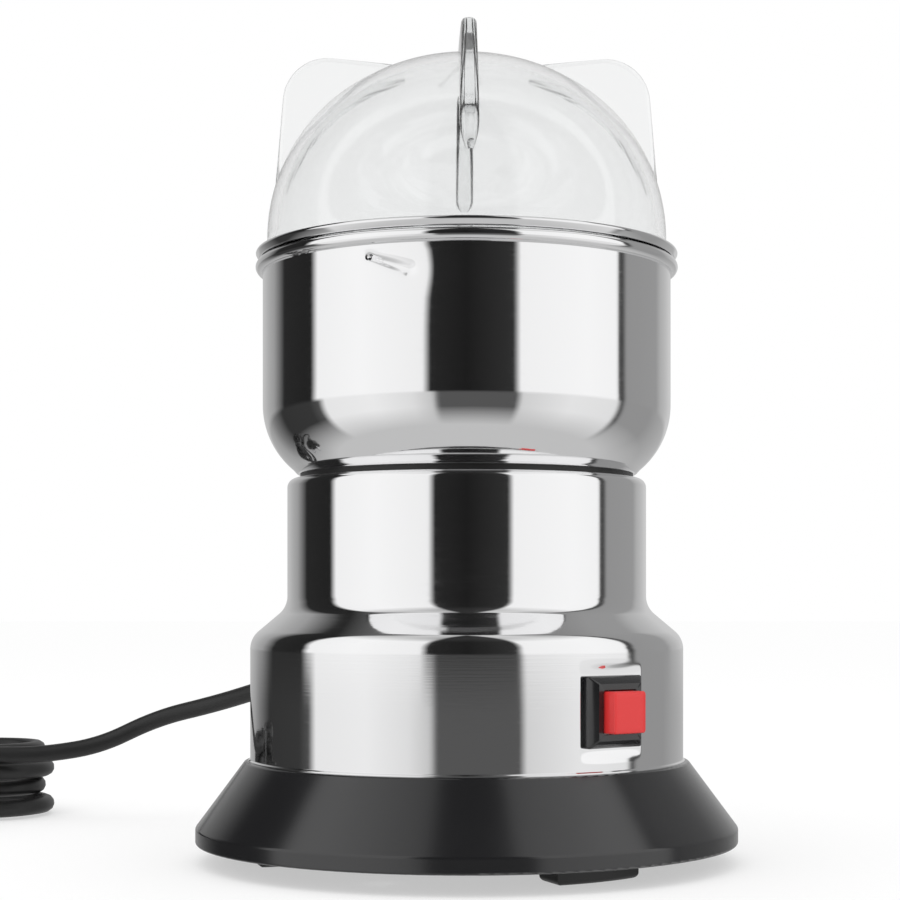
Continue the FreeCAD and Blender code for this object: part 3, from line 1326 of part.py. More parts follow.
def hank_path():
    """The whole wound length: four layers of one loop, then the tail that lies to the plug."""
    offsets = hank_offsets()
    near = lambda k: hank_middle() - offsets[k]
    far = lambda k: hank_middle() + offsets[k]
    edges = []
    level = HANK_LOOPS - 1
    for loop in range(HANK_LOOPS):
        k = 2 * loop
        z_in = hank_level(level) if loop == 0 else hank_level(level + 1)
        z = hank_level(level)
        edges += waist_run(HANK_RIGHT, -1.0, offsets[k], z_in, z)
        edges += half_turn(hank_left(), near(k), far(k + 1), z, -1.0)
        edges += waist_run(hank_left(), 1.0, offsets[k + 1], z, z)
        edges += half_turn(HANK_RIGHT, far(k + 1), near(k + 2), z, 1.0)
        level -= 1
    z = hank_level(0)
    last = offsets[-1]
    edges += waist_run(HANK_RIGHT, -1.0, last, z, z)
    y = hank_middle() - last
    edges += half_turn(hank_left(), y, y - 2.0 * TAIL_FOLD, z, -1.0)
    tail = Vector(hank_left(), y - 2.0 * TAIL_FOLD, z)
    lifted = plug_start()
    edges += biarc(tail, Vector(1, 0, 0), lifted, Vector(1, 0, 0))
    edges.append(Part.LineSegment(lifted, lifted + Vector(CORD_DIAMETER, 0, 0)).toShape())
    return edges


def plug_start():
    """Where the tail has risen to the plug's middle height, one diameter before its neck."""
    return Vector(hank_left() + TAIL_RUN, HANK_NEAR - 2.0 * TAIL_FOLD, PLUG_THICKNESS / 2.0)


def swept(wire, start, along, name):
    """A round tube along a wire, its volume set against its section times its length."""
    profile = Part.Wire(Part.makeCircle(CORD_DIAMETER / 2.0, start, along))
    tube = wire.makePipeShell([profile], True, False)
    section = math.pi * CORD_DIAMETER ** 2 / 4.0
    print(name, "volume share", round(tube.Volume / (section * wire.Length), 4), "length", round(wire.Length, 1))
    return tube


def least_gap(edges, name):
    """The least distance between parts of the cord that aren't neighbours along it, less a diameter."""
    points = [p for edge in edges for p in edge.discretize(max(2, int(edge.Length / 1.5)))[:-1]]
    lengths = [0.0]
    for a, b in zip(points, points[1:]):
        lengths.append(lengths[-1] + a.distanceToPoint(b))
    least = 1e9
    apart = 4.0 * CORD_DIAMETER
    for i in range(len(points)):
        for j in range(i + 1, len(points)):
            if lengths[j] - lengths[i] > apart:
                least = min(least, points[i].distanceToPoint(points[j]))
    print(name, "least gap to itself", round(least - CORD_DIAMETER, 2))


def cord_free():
    points = free_route()
    wire = rounded_route(points, "cord_free")
    return swept(wire, points[0], points[1].sub(points[0]), "cord_free")


def cord_hank():
    edges = hank_path()
    start = edges[0].Vertexes[0].Point
    least_gap(edges, "cord_hank")
    return swept(Part.Wire(edges), start, Vector(-1, 0, 0), "cord_hank")


def cord_tie():
    """A strap round the hank's waist."""
    x = (HANK_RIGHT + hank_left()) / 2.0
    offsets = hank_offsets()
    half = CORD_DIAMETER / 2.0 + TIE_CLEAR
    near = hank_middle() - (offsets[0] - HANK_DRAW) - half
    far = hank_middle() + (offsets[1] - HANK_DRAW) + half
    low = TIE_THICKNESS
    high = hank_level(HANK_LOOPS - 1) + half
    place = lambda y, z: Vector(x - TIE_WIDTH / 2.0, y, z)
    grow = lambda t, r: outline([(near - t, low - t, r), (far + t, low - t, r), (far + t, high + t, r),
                                 (near - t, high + t, r)], place)
    round_in = CORD_DIAMETER * 0.4
    span = Vector(TIE_WIDTH, 0, 0)
    outer = Part.Face(grow(TIE_THICKNESS * 0.96, round_in + TIE_THICKNESS)).extrude(span)
    return outer.cut(Part.Face(grow(0.0, round_in)).extrude(span))


def plug_body():
    """A slim two-pin plug lying flat: a long hexagonal grip that narrows to the cord."""
    start = plug_start() + Vector(CORD_DIAMETER, 0, 0)
    neck = PLUG_LENGTH * 0.3
    sections = []
    for x, width, height in ((0.0, PLUG_NECK, PLUG_NECK), (neck, PLUG_NECK + 4.0, PLUG_NECK + 1.5),
                             (PLUG_LENGTH * 0.55, PLUG_WIDTH * 0.86, PLUG_THICKNESS * 0.94),
                             (PLUG_LENGTH, PLUG_WIDTH, PLUG_THICKNESS)):
        a, b = width / 2.0, height / 2.0
        cut = b * 0.62
        place = lambda y, z, at=x: Vector(start.x + at, start.y + y, start.z + z)
        sections.append(outline([(-a, -b + cut), (-a + cut, -b), (a - cut, -b), (a, -b + cut), (a, b - cut),
                                 (a - cut, b), (-a + cut, b), (-a, b - cut)], place))
    return Part.makeLoft(sections, True, True)


def plug_pins():
    start = plug_start() + Vector(CORD_DIAMETER + PLUG_LENGTH, 0, 0)
    pins = []
    for side in (-1, 1):
        foot_at = start + Vector(0, side * PIN_SPACING / 2.0, 0)
        sleeve = Part.makeCylinder(PIN_RADIUS - 0.1, PIN_SLEEVE, foot_at, Vector(1, 0, 0))
        rest = PIN_LENGTH - PIN_SLEEVE
        tip = Part.makeCylinder(PIN_RADIUS, rest, foot_at + Vector(PIN_SLEEVE, 0, 0), Vector(1, 0, 0))
        rims = [e for e in tip.Edges if abs(e.CenterOfMass.x - start.x - PIN_LENGTH) < 1e-6]
        tip = tip.makeFillet(PIN_RADIUS * 0.6, rims)
        pins.append(sleeve.fuse(tip).removeSplitter())
    return pins


def main():
    os.makedirs("parts", exist_ok=True)
    save("base_skirt", base_skirt())
    save("base_plate", base_plate())
    save("feet", ring_of(foot(), FOOT_COUNT, FOOT_AZIMUTH))
    save("cover_screws", cover_screws())
    save("base_screws", base_screws())
    save("body_shell", body_shell())
    save("bowl_gasket", bowl_gasket())
    save("bowl", bowl())
    save("bowl_hub", bowl_hub())
    save("bowl_screws", bowl_screws())
    save("shaft_seal", shaft_seal())
    save("motor_mount", motor_mount())
    save("stator_core", stator_core())
    save("field_coils", field_coils())
    save("lower_bracket", lower_bracket())
    save("stator_screws", stator_screws())
    upper_outer, upper_inner = bearing(UPPER_BEARING_BOTTOM)
    lower_outer, lower_inner = bearing(LOWER_BEARING_BOTTOM)
    save("upper_bearing", upper_outer)
    save("lower_bearing", lower_outer)
    save("bearing_inner_races", [upper_inner, lower_inner])
    save("motor_shaft", motor_shaft())
    save("armature_core", armature_core())
    save("armature_winding", armature_winding())
    save("commutator", commutator())
    brushes, holders, springs = brush_sets()
    save("brushes", brushes)
    save("brush_holders", holders)
    save("brush_springs", springs)
    save("cooling_fan", cooling_fan())
    save("blade_collar", pipe(COLLAR_RADIUS, TIP_RADIUS + RUNNING, BLADE_SEAT - COLLAR_HEIGHT, BLADE_SEAT))
    save("lower_blade", around(blade(LOWER_BLADE_BEND, BLADE_SEAT), 20.0))
    save("blade_spacer", pipe(COLLAR_RADIUS, TIP_RADIUS + RUNNING, LOWER_BLADE_TOP, UPPER_BLADE_LOW))
    save("upper_blade", around(blade(UPPER_BLADE_BEND, UPPER_BLADE_LOW), 110.0))
    save("blade_washer", pipe(COLLAR_RADIUS - 0.6, TIP_RADIUS + RUNNING, UPPER_BLADE_TOP, NUT_LOW))
    save("blade_nut", blade_nut())
    save("lid", lid())
    save("lid_fins", lid_fins())
    save("lid_ring", lid_ring())
    save("switch_housing", switch_housing())
    save("switch_button", switch_button())
    save("switch_spring", switch_spring())
    save("switch_terminals", switch_terminals())
    save("strain_relief", strain_relief())
    save("cord_free", cord_free())
    save("cord_hank", cord_hank())
    save("cord_tie", cord_tie())
    save("plug_body", plug_body())
    save("plug_pins", plug_pins())
    print("lid turns", round(lid_turn(), 2), "degrees")


main()
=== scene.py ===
"""The looks of an electric grain mill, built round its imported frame. Metres unless a name says millimetres."""

import json
import math

import bmesh
import bpy
import numpy as np
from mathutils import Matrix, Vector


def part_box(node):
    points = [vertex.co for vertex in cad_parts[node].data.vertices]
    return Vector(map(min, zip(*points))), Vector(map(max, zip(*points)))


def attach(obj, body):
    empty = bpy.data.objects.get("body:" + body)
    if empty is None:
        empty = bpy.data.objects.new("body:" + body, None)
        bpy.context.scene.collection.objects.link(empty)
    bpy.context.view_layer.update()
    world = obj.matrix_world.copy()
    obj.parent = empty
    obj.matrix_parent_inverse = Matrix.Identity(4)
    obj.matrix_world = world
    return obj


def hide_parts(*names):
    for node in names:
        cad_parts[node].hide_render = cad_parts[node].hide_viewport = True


bl_info = {
    "name": "Grain mill looks",
    "version": (1, 0, 0),
    "blender": (4, 5, 0),
    "location": "3D View > Sidebar > Mill",
    "description": "Steel, clear plastic, switch, cord and studio of an electric grain mill",
    "category": "Object",
}

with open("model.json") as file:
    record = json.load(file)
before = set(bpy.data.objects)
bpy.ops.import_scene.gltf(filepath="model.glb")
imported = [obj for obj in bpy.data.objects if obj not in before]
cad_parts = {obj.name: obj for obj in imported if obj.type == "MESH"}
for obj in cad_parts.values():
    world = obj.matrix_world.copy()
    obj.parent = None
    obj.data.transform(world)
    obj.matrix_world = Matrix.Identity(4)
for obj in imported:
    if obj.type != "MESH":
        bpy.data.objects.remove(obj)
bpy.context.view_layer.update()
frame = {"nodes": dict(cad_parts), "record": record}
MM = 0.001

# Heights of the body, in millimetres, taken from the frame's own boxes
SKIRT_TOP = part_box("body_shell")[0].z / MM
BODY_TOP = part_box("body_shell")[1].z / MM
BOWL_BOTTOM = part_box("bowl")[0].z / MM
RIM_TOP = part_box("bowl")[1].z / MM
LID_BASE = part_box("lid_ring")[0].z / MM
FLANGE_LOW = LID_BASE + 0.45


# Sizes and colours that a user would change

class MillSizes(bpy.types.PropertyGroup):
    turns: bpy.props.IntProperty(
        name="Turned steps", description="Steps round the shaft in each turned surface", default=360, min=48)
    wall: bpy.props.FloatProperty(
        name="Sheet", description="Thickness of the steel sheet", default=0.0008, unit="LENGTH", precision=4)
    dome_wall: bpy.props.FloatProperty(
        name="Lid wall", description="Thickness of the clear lid", default=0.002, unit="LENGTH", precision=4)
    fin_round: bpy.props.FloatProperty(
        name="Fin rounding", description="Radius along the fins' free edges", default=0.0012, unit="LENGTH",
        precision=4)
    cord_thickness: bpy.props.FloatProperty(
        name="Cord", description="Diameter of the mains cord", default=0.0045, unit="LENGTH", precision=4)


class MillColours(bpy.types.PropertyGroup):
    steel: bpy.props.FloatVectorProperty(
        name="Polished steel", description="Colour of the bowl and body", subtype="COLOR", default=(0.91, 0.91, 0.915))
    plain_steel: bpy.props.FloatVectorProperty(
        name="Plain steel", description="Colour of blades, shaft and screws", subtype="COLOR",
        default=(0.62, 0.62, 0.63))
    clear: bpy.props.FloatVectorProperty(
        name="Clear plastic", description="Tint of the lid", subtype="COLOR", default=(0.93, 0.935, 0.935))
    black: bpy.props.FloatVectorProperty(
        name="Black plastic", description="Colour of the base and bezel", subtype="COLOR",
        default=(0.012, 0.012, 0.013))
    red: bpy.props.FloatVectorProperty(
        name="Key red", description="Colour of the switch's key", subtype="COLOR", default=(0.72, 0.035, 0.035))
    rubber: bpy.props.FloatVectorProperty(
        name="Cord black", description="Colour of the cord, feet and seals", subtype="COLOR",
        default=(0.014, 0.014, 0.014))
    copper: bpy.props.FloatVectorProperty(
        name="Copper", description="Colour of the enamelled wire", subtype="COLOR", default=(0.55, 0.2, 0.08))


def sizes():
    return bpy.context.scene.mill_sizes


def colours():
    return bpy.context.scene.mill_colours


# Meshes from arrays

def mesh_from_grid(points, wrap_rows, wrap_columns, caps=False):
    """Quads between neighbours of a grid of points, rows by columns, joined round where a direction wraps.

    Face (i, j) has the corners (i, j), (i, j+1), (i+1, j+1), (i+1, j), with the indices taken modulo the grid.
    Caps close the first and the last row with one face each."""
    rows, columns, _ = points.shape
    index = np.arange(rows * columns).reshape(rows, columns)
    next_row = np.roll(index, -1, axis=0)
    corners = np.stack([index, np.roll(index, -1, axis=1), np.roll(next_row, -1, axis=1), next_row], axis=-1)
    if not wrap_rows:
        corners = corners[:-1]
    if not wrap_columns:
        corners = corners[:, :-1]
    quads = corners.reshape(-1, 4)
    loops = quads.ravel()
    starts = np.arange(len(quads)) * 4
    totals = np.full(len(quads), 4)
    if caps:
        loops = np.concatenate([loops, index[0], index[-1][::-1]])
        starts = np.concatenate([starts, [len(quads) * 4, len(quads) * 4 + columns]])
        totals = np.concatenate([totals, [columns, columns]])
    mesh = bpy.data.meshes.new("surface")
    mesh.vertices.add(rows * columns)
    mesh.vertices.foreach_set("co", points.reshape(-1).astype(np.float32))
    mesh.loops.add(len(loops))
    mesh.loops.foreach_set("vertex_index", loops.astype(np.int32))
    mesh.polygons.add(len(totals))
    mesh.polygons.foreach_set("loop_start", starts.astype(np.int32))
    mesh.polygons.foreach_set("loop_total", totals.astype(np.int32))
    mesh.update(calc_edges=True)
    return mesh


def finish_piece(name, meshes, material, body, nodes, sharp=35.0):
    """Joins meshes into one piece, welds its poles, turns its faces outwards, hangs it on its body's empty and hides
    the frame's nodes that it stands for.
    """
    joined = bmesh.new()
    for mesh in meshes:
        part = bmesh.new()
        part.from_mesh(mesh)
        bmesh.ops.remove_doubles(part, verts=part.verts, dist=2e-7)
        bmesh.ops.recalc_face_normals(part, faces=part.faces)
        welded = bpy.data.meshes.new("welded")
        part.to_mesh(welded)
        part.free()
        joined.from_mesh(welded)
        bpy.data.meshes.remove(welded)
        bpy.data.meshes.remove(mesh)
    whole = bpy.data.meshes.new(name)
    joined.to_mesh(whole)
    joined.free()
    whole.polygons.foreach_set("use_smooth", np.ones(len(whole.polygons), dtype=bool))
    whole.set_sharp_from_angle(angle=math.radians(sharp))
    piece = bpy.data.objects.new(name, whole)
    bpy.context.scene.collection.objects.link(piece)
    whole.materials.append(material)
    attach(piece, body)
    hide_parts(*nodes)
    return piece


def rounded(corners, step=7.5, closed=False):
    """A path of straight runs through corners (a, b) or (a, b, radius), each radius a tangent arc.

    An arc of radius r in a corner of half angle h starts r / tan(h) from the corner, and its centre lies
    r / sin(h) along the bisector; its points are spaced evenly in angle."""
    path = []
    count = len(corners)
    for i, corner in enumerate(corners):
        here = np.array(corner[:2], float)
        radius = corner[2] if len(corner) > 2 else 0.0
        if not radius or (not closed and i in (0, count - 1)):
            path.append(here)
            continue
        back = np.array(corners[i - 1][:2]) - here
        on = np.array(corners[(i + 1) % count][:2]) - here
        back /= np.linalg.norm(back)
        on /= np.linalg.norm(on)
        half = math.acos(float(np.clip(back @ on, -1, 1))) / 2.0
        centre = here + (back + on) / np.linalg.norm(back + on) * radius / math.sin(half)
        start = here + back * radius / math.tan(half) - centre
        turn = math.pi - 2.0 * half
        side = np.sign(back[0] * on[1] - back[1] * on[0]) * -1.0
        angles = np.linspace(0.0, turn * side, max(3, int(math.degrees(turn) / step) + 2))
        path += [centre + np.array([start[0] * math.cos(t) - start[1] * math.sin(t),
                                    start[0] * math.sin(t) + start[1] * math.cos(t)]) for t in angles]
    return np.array(path)


def dense(path, spacing, closed=True):
    """The path with more points on its long runs, no further apart than the spacing, keeping its own points."""
    if closed:
        path = np.vstack([path, path[:1]])
    run = np.concatenate([[0.0], np.cumsum(np.linalg.norm(np.diff(path, axis=0), axis=1))])
    keep = np.concatenate([[True], np.diff(run) > 1e-9])
    path, run = path[keep], run[keep]
    steps = np.maximum(1, np.ceil(np.diff(run) / spacing)).astype(int)
    places = np.concatenate([np.linspace(a, b, n, endpoint=False) for a, b, n in zip(run, run[1:], steps)])
    if not closed:
        places = np.append(places, run[-1])
    return np.stack([np.interp(places, run, path[:, 0]), np.interp(places, run, path[:, 1])], axis=1)


def turned(path, wrap, shape=None, azimuths=None):
    """A surface turned round the shaft: x = r sin(a), y = -r cos(a), z = height along the path.

    A shape function may change the radius with azimuth and height: r = shape(a, r, z)."""
    if azimuths is None:
        azimuths = np.linspace(0.0, 2.0 * np.pi, sizes().turns, endpoint=False)
    a, r = np.meshgrid(azimuths, path[:, 0])
    z = np.broadcast_to(path[:, 1][:, None], r.shape)
    if shape is not None:
        r = shape(a, r, z)
    points = np.stack([r * np.sin(a), -r * np.cos(a), z], axis=-1) * MM
    return mesh_from_grid(points, wrap, True)


def finer(low, high, count, zones, step):
    """Even steps from low to high, without the end, with a smaller step inside each zone (start, end)."""
    even = np.linspace(low, high, count, endpoint=False)
    parts = []
    for start, end in zones:
        even = even[(even < start) | (even > end)]
        parts.append(np.linspace(start, end, int(round((end - start) / step)) + 1))
    return np.sort(np.concatenate([even] + parts))


def refined(path, low, high, spacing):
    """The closed path with more points where its height lies between low and high."""
    close = np.vstack([path, path[:1]])
    out = []
    for a, b in zip(close, close[1:]):
        inside = min(a[1], b[1]) < high and max(a[1], b[1]) > low
        steps = max(1, math.ceil(float(np.linalg.norm(b - a)) / spacing)) if inside else 1
        out.append(a + (b - a) * np.linspace(0.0, 1.0, steps, endpoint=False)[:, None])
    return np.concatenate(out)


def smooth_step(value):
    """0 below 0 and 1 above 1, with level ends: v^2 (3 - 2v)."""
    share = np.clip(value, 0.0, 1.0)
    return share * share * (3.0 - 2.0 * share)


def offset_sheet(corners, thickness):
    """The outer path and its copy a thickness to the left, each line moved square to itself."""
    moved = []
    lines = []
    for a, b in zip(corners, corners[1:]):
        along = np.array(b[:2], float) - np.array(a[:2], float)
        along /= np.linalg.norm(along)
        lines.append((np.array(a[:2], float) + np.array([-along[1], along[0]]) * thickness, along))
    for i, corner in enumerate(corners):
        if i in (0, len(corners) - 1):
            along = lines[0][1] if i == 0 else lines[-1][1]
            moved.append((corner[0] - along[1] * thickness, corner[1] + along[0] * thickness))
            continue
        (p, u), (q, v) = lines[i - 1], lines[i]
        cross = u[0] * v[1] - u[1] * v[0]
        t = ((q[0] - p[0]) * v[1] - (q[1] - p[1]) * v[0]) / cross
        radius = corner[2] if len(corner) > 2 else 0.0
        if radius:
            radius = max(radius - thickness if cross > 0 else radius + thickness, 0.05)
        moved.append((p[0] + u[0] * t, p[1] + u[1] * t, radius))
    return moved


def rectangle_loop(width, height, corner, steps=7):
    """A rounded rectangle's outline, the same number of points in each corner, from -45 degrees anticlockwise."""
    corner = min(corner, width / 2.0 - 1e-3, height / 2.0 - 1e-3)
    angles = np.linspace(0.0, np.pi / 2.0, steps)
    loop = []
    for k, (sx, sy) in enumerate(((1, 1), (-1, 1), (-1, -1), (1, -1))):
        t = angles + k * np.pi / 2.0
        loop.append(np.stack([sx * (width / 2.0 - corner) + corner * np.cos(t),
                              sy * (height / 2.0 - corner) + corner * np.sin(t)], axis=1))
    return np.concatenate(loop)


def lofted(loops):
    """A skin over a stack of outlines with equal counts, closed at both ends."""
    return mesh_from_grid(np.asarray(loops), False, True, caps=True)


# Materials

def group_of(name, inputs, outputs):
    """A new shader group with named value or colour sockets, and its two ends."""
    group = bpy.data.node_groups.new(name, "ShaderNodeTree")
    for label, kind, default in inputs:
        socket = group.interface.new_socket(label, in_out="INPUT", socket_type=kind)
        if default is not None:
            socket.default_value = default
    for label, kind in outputs:
        group.interface.new_socket(label, in_out="OUTPUT", socket_type=kind)
    return group, group.nodes.new("NodeGroupInput"), group.nodes.new("NodeGroupOutput")


def feed(tree, socket, value):
    """Gives a socket a number, or links another socket to it."""
    if isinstance(value, (int, float)):
        socket.default_value = value
    else:
        tree.links.new(value, socket)


def math_node(tree, operation, first, second=None, clamp=False):
    node = tree.nodes.new("ShaderNodeMath")
    node.operation = operation
    node.use_clamp = clamp
    for socket, value in zip(node.inputs, (first, second)):
        if value is not None:
            feed(tree, socket, value)
    return node.outputs[0]


def noise(tree, vector, scale, detail, stretch=(1.0, 1.0, 1.0)):
    """Noise on a stretched vector."""
    mapping = tree.nodes.new("ShaderNodeMapping")
    mapping.inputs["Scale"].default_value = stretch
    tree.links.new(vector, mapping.inputs["Vector"])
    node = tree.nodes.new("ShaderNodeTexNoise")
    node.inputs["Detail"].default_value = detail
    feed(tree, node.inputs["Scale"], scale)
    tree.links.new(mapping.outputs[0], node.inputs["Vector"])
    return node.outputs["Fac"]


def polish_group():
    """Turned polish: fine scratches that run round the shaft, and cloudy patches. Object coordinates in, values out.

    Height is noise stretched 90 times flatter than wide; roughness is the base plus patches plus scratches."""
    group, start, end = group_of("Turned polish", [
        ("Vector", "NodeSocketVector", None), ("Roughness", "NodeSocketFloat", 0.08),
        ("Patches", "NodeSocketFloat", 0.05), ("Scratches", "NodeSocketFloat", 0.08),
    ], [("Roughness", "NodeSocketFloat"), ("Height", "NodeSocketFloat")])
    vector = start.outputs["Vector"]
    lines = noise(group, vector, 38.0, 4.0, (1.0, 1.0, 90.0))
    hair = noise(group, vector, 260.0, 2.0, (1.0, 1.0, 14.0))
    clouds = noise(group, vector, 34.0, 3.0)
    patch = math_node(group, "MULTIPLY", math_node(group, "SUBTRACT", clouds, 0.45, True), start.outputs["Patches"])
    fine = math_node(group, "POWER", hair, 3.0)
    scratch = math_node(group, "MULTIPLY", fine, start.outputs["Scratches"])
    total = math_node(group, "ADD", math_node(group, "ADD", start.outputs["Roughness"], patch), scratch)
    group.links.new(total, end.inputs["Roughness"])
    group.links.new(math_node(group, "ADD", lines, math_node(group, "MULTIPLY", hair, 0.35)), end.inputs["Height"])
    return group


def grain_group():
    """Moulded grain: small dimples and a slow change of gloss, with a worn mask that follows high spots."""
    group, start, end = group_of("Moulded grain", [
        ("Vector", "NodeSocketVector", None), ("Scale", "NodeSocketFloat", 900.0),
        ("Roughness", "NodeSocketFloat", 0.4), ("Change", "NodeSocketFloat", 0.1),
    ], [("Roughness", "NodeSocketFloat"), ("Height", "NodeSocketFloat"), ("Mask", "NodeSocketFloat")])
    vector = start.outputs["Vector"]
    fine = noise(group, vector, start.outputs["Scale"], 2.0)
    slow = noise(group, vector, 30.0, 3.0)
    change = math_node(group, "MULTIPLY", math_node(group, "SUBTRACT", slow, 0.5), start.outputs["Change"])
    group.links.new(math_node(group, "ADD", start.outputs["Roughness"], change), end.inputs["Roughness"])
    group.links.new(fine, end.inputs["Height"])
    group.links.new(math_node(group, "MULTIPLY", math_node(group, "SUBTRACT", slow, 0.52, True), 4.0, True),
                    end.inputs["Mask"])
    return group


def layers_group():
    """Stacked or wound layers: a wave along one axis, with a little noise, as height and as a mask."""
    group, start, end = group_of("Layers", [
        ("Position", "NodeSocketFloat", 0.0), ("Count per metre", "NodeSocketFloat", 1600.0),
        ("Noise", "NodeSocketFloat", 0.5),
    ], [("Height", "NodeSocketFloat"), ("Mask", "NodeSocketFloat")])
    phase = math_node(group, "MULTIPLY", start.outputs["Position"], start.outputs["Count per metre"])
    shaken = math_node(group, "ADD", phase, start.outputs["Noise"])
    wave = math_node(group, "SINE", math_node(group, "MULTIPLY", shaken, 2.0 * math.pi))
    height = math_node(group, "MULTIPLY_ADD", wave, 0.5)
    height.node.inputs[2].default_value = 0.5
    group.links.new(height, end.inputs["Height"])
    group.links.new(math_node(group, "POWER", height, 3.0), end.inputs["Mask"])
    return group


def new_material(name):
    material = bpy.data.materials.new(name)
    material.use_nodes = True
    tree = material.node_tree
    shader = tree.nodes["Principled BSDF"]
    place = tree.nodes.new("ShaderNodeTexCoord").outputs["Object"]
    return material, tree, shader, place


def add_group(tree, group, **values):
    node = tree.nodes.new("ShaderNodeGroup")
    node.node_tree = group
    for label, value in values.items():
        feed(tree, node.inputs[label.replace("_", " ")], value)
    return node


def bump(tree, shader, height, strength, distance):
    node = tree.nodes.new("ShaderNodeBump")
    node.inputs["Strength"].default_value = strength
    node.inputs["Distance"].default_value = distance
    tree.links.new(height, node.inputs["Height"])
    tree.links.new(node.outputs["Normal"], shader.inputs["Normal"])


def two_tone(tree, mask, first, second):
    """A colour that goes from first to second with a mask."""
    node = tree.nodes.new("ShaderNodeMix")
    node.data_type = "RGBA"
    tree.links.new(mask, node.inputs["Factor"])
    node.inputs["A"].default_value = (*first, 1.0)
    node.inputs["B"].default_value = (*second, 1.0)
    return node.outputs["Result"]


def scaled(colour, share):
    return tuple(min(1.0, c * share) for c in colour)


def turned_steel(name, colour, roughness, patches, scratches, strength, groups):
    material, tree, shader, place = new_material(name)
    polish = add_group(tree, groups["polish"], Vector=place, Roughness=roughness, Patches=patches,
                       Scratches=scratches)
    shader.inputs["Metallic"].default_value = 1.0
    shader.inputs["Base Color"].default_value = (*colour, 1.0)
    tree.links.new(polish.outputs["Roughness"], shader.inputs["Roughness"])
    bump(tree, shader, polish.outputs["Height"], strength, 0.00002)
    return material


def moulded(name, colour, roughness, change, scale, strength, groups, specular=0.5, wear=1.25):
    material, tree, shader, place = new_material(name)
    grain = add_group(tree, groups["grain"], Vector=place, Scale=scale, Roughness=roughness, Change=change)
    tone = two_tone(tree, grain.outputs["Mask"], colour, scaled(colour, wear))
    tree.links.new(tone, shader.inputs["Base Color"])
    tree.links.new(grain.outputs["Roughness"], shader.inputs["Roughness"])
    shader.inputs["Specular IOR Level"].default_value = specular
    bump(tree, shader, grain.outputs["Height"], strength, 0.00003)
    return material


def layered(name, colour, second, count, roughness, metallic, groups, axis="Z"):
    """Laminations or wound wire: layers along an axis, darker between them."""
    material, tree, shader, place = new_material(name)
    split = tree.nodes.new("ShaderNodeSeparateXYZ")
    tree.links.new(place, split.inputs[0])
    shake = noise(tree, place, 120.0, 2.0)
    layers = add_group(tree, groups["layers"], Position=split.outputs[axis], Count_per_metre=count, Noise=shake)
    tree.links.new(two_tone(tree, layers.outputs["Mask"], second, colour), shader.inputs["Base Color"])
    shader.inputs["Roughness"].default_value = roughness
    shader.inputs["Metallic"].default_value = metallic
    bump(tree, shader, layers.outputs["Height"], 0.6, 0.0001)
    return material


def clear_plastic(name, tint, groups):
    """Clear moulded plastic: full transmission, with faint flow marks in its gloss and surface."""
    material, tree, shader, place = new_material(name)
    grain = add_group(tree, groups["grain"], Vector=place, Scale=60.0, Roughness=0.035, Change=0.05)
    shader.inputs["Base Color"].default_value = (*tint, 1.0)
    shader.inputs["Transmission Weight"].default_value = 1.0
    shader.inputs["IOR"].default_value = 1.5
    tree.links.new(grain.outputs["Roughness"], shader.inputs["Roughness"])
    bump(tree, shader, grain.outputs["Height"], 0.04, 0.0002)
    return material


def make_materials():
    c = colours()
    groups = {"polish": polish_group(), "grain": grain_group(), "layers": layers_group()}
    return {
        "steel_polished": turned_steel("polished_steel", c.steel, 0.035, 0.06, 0.12, 0.10, groups),
        "steel_brushed": turned_steel("plain_steel", c.plain_steel, 0.22, 0.25, 0.3, 0.3, groups),
        "plastic_black": moulded("satin_black", c.black, 0.17, 0.07, 1400.0, 0.12, groups, 0.85),
        "plastic_clear": clear_plastic("clear_lid", c.clear, groups),
        "plastic_red": moulded("key_red", c.red, 0.28, 0.1, 1500.0, 0.1, groups, 0.5, 1.12),
        "plastic_grey": moulded("bracket_grey", (0.09, 0.095, 0.1), 0.45, 0.15, 900.0, 0.3, groups),
        "rubber_black": moulded("cord_rubber", c.rubber, 0.42, 0.15, 1200.0, 0.25, groups),
        "rubber_pale": moulded("pale_rubber", (0.5, 0.49, 0.45), 0.6, 0.15, 900.0, 0.3, groups),
        "laminations": layered("laminations", (0.2, 0.2, 0.21), (0.05, 0.05, 0.052), 1900.0, 0.45, 0.8, groups),
        "copper": layered("enamelled_wire", c.copper, scaled(c.copper, 0.35), 1500.0, 0.3, 0.6, groups),
        "commutator_copper": turned_steel("commutator_copper", (0.72, 0.36, 0.2), 0.2, 0.2, 0.3, 0.3, groups),
        "brass": turned_steel("brass", (0.68, 0.48, 0.2), 0.28, 0.2, 0.25, 0.3, groups),
        "carbon": moulded("carbon", (0.02, 0.02, 0.022), 0.6, 0.2, 700.0, 0.5, groups),
    }


def material(slot):
    names = {"steel_polished": "polished_steel", "steel_brushed": "plain_steel", "plastic_black": "satin_black",
             "plastic_clear": "clear_lid", "plastic_red": "key_red", "plastic_grey": "bracket_grey",
             "rubber_black": "cord_rubber", "rubber_pale": "pale_rubber", "laminations": "laminations",
             "copper": "enamelled_wire", "brass": "brass", "carbon": "carbon"}
    return bpy.data.materials[names[slot]]


# Stage

# The camera, in pixels of a square picture: its width, the focal length, the shaft's column and the eye's row
PICTURE = 900.0
FOCAL = 2013.0
AXIS_COLUMN = 466.7
EYE_ROW = 603.3
CAMERA_SENSOR = 36.0


def reflected(tree, path):
    """1 for a reflected ray. A ray through clear plastic counts as glossy too, so those are taken off."""
    return math_node(tree, "SUBTRACT", path.outputs["Is Glossy Ray"], path.outputs["Is Transmission Ray"], True)


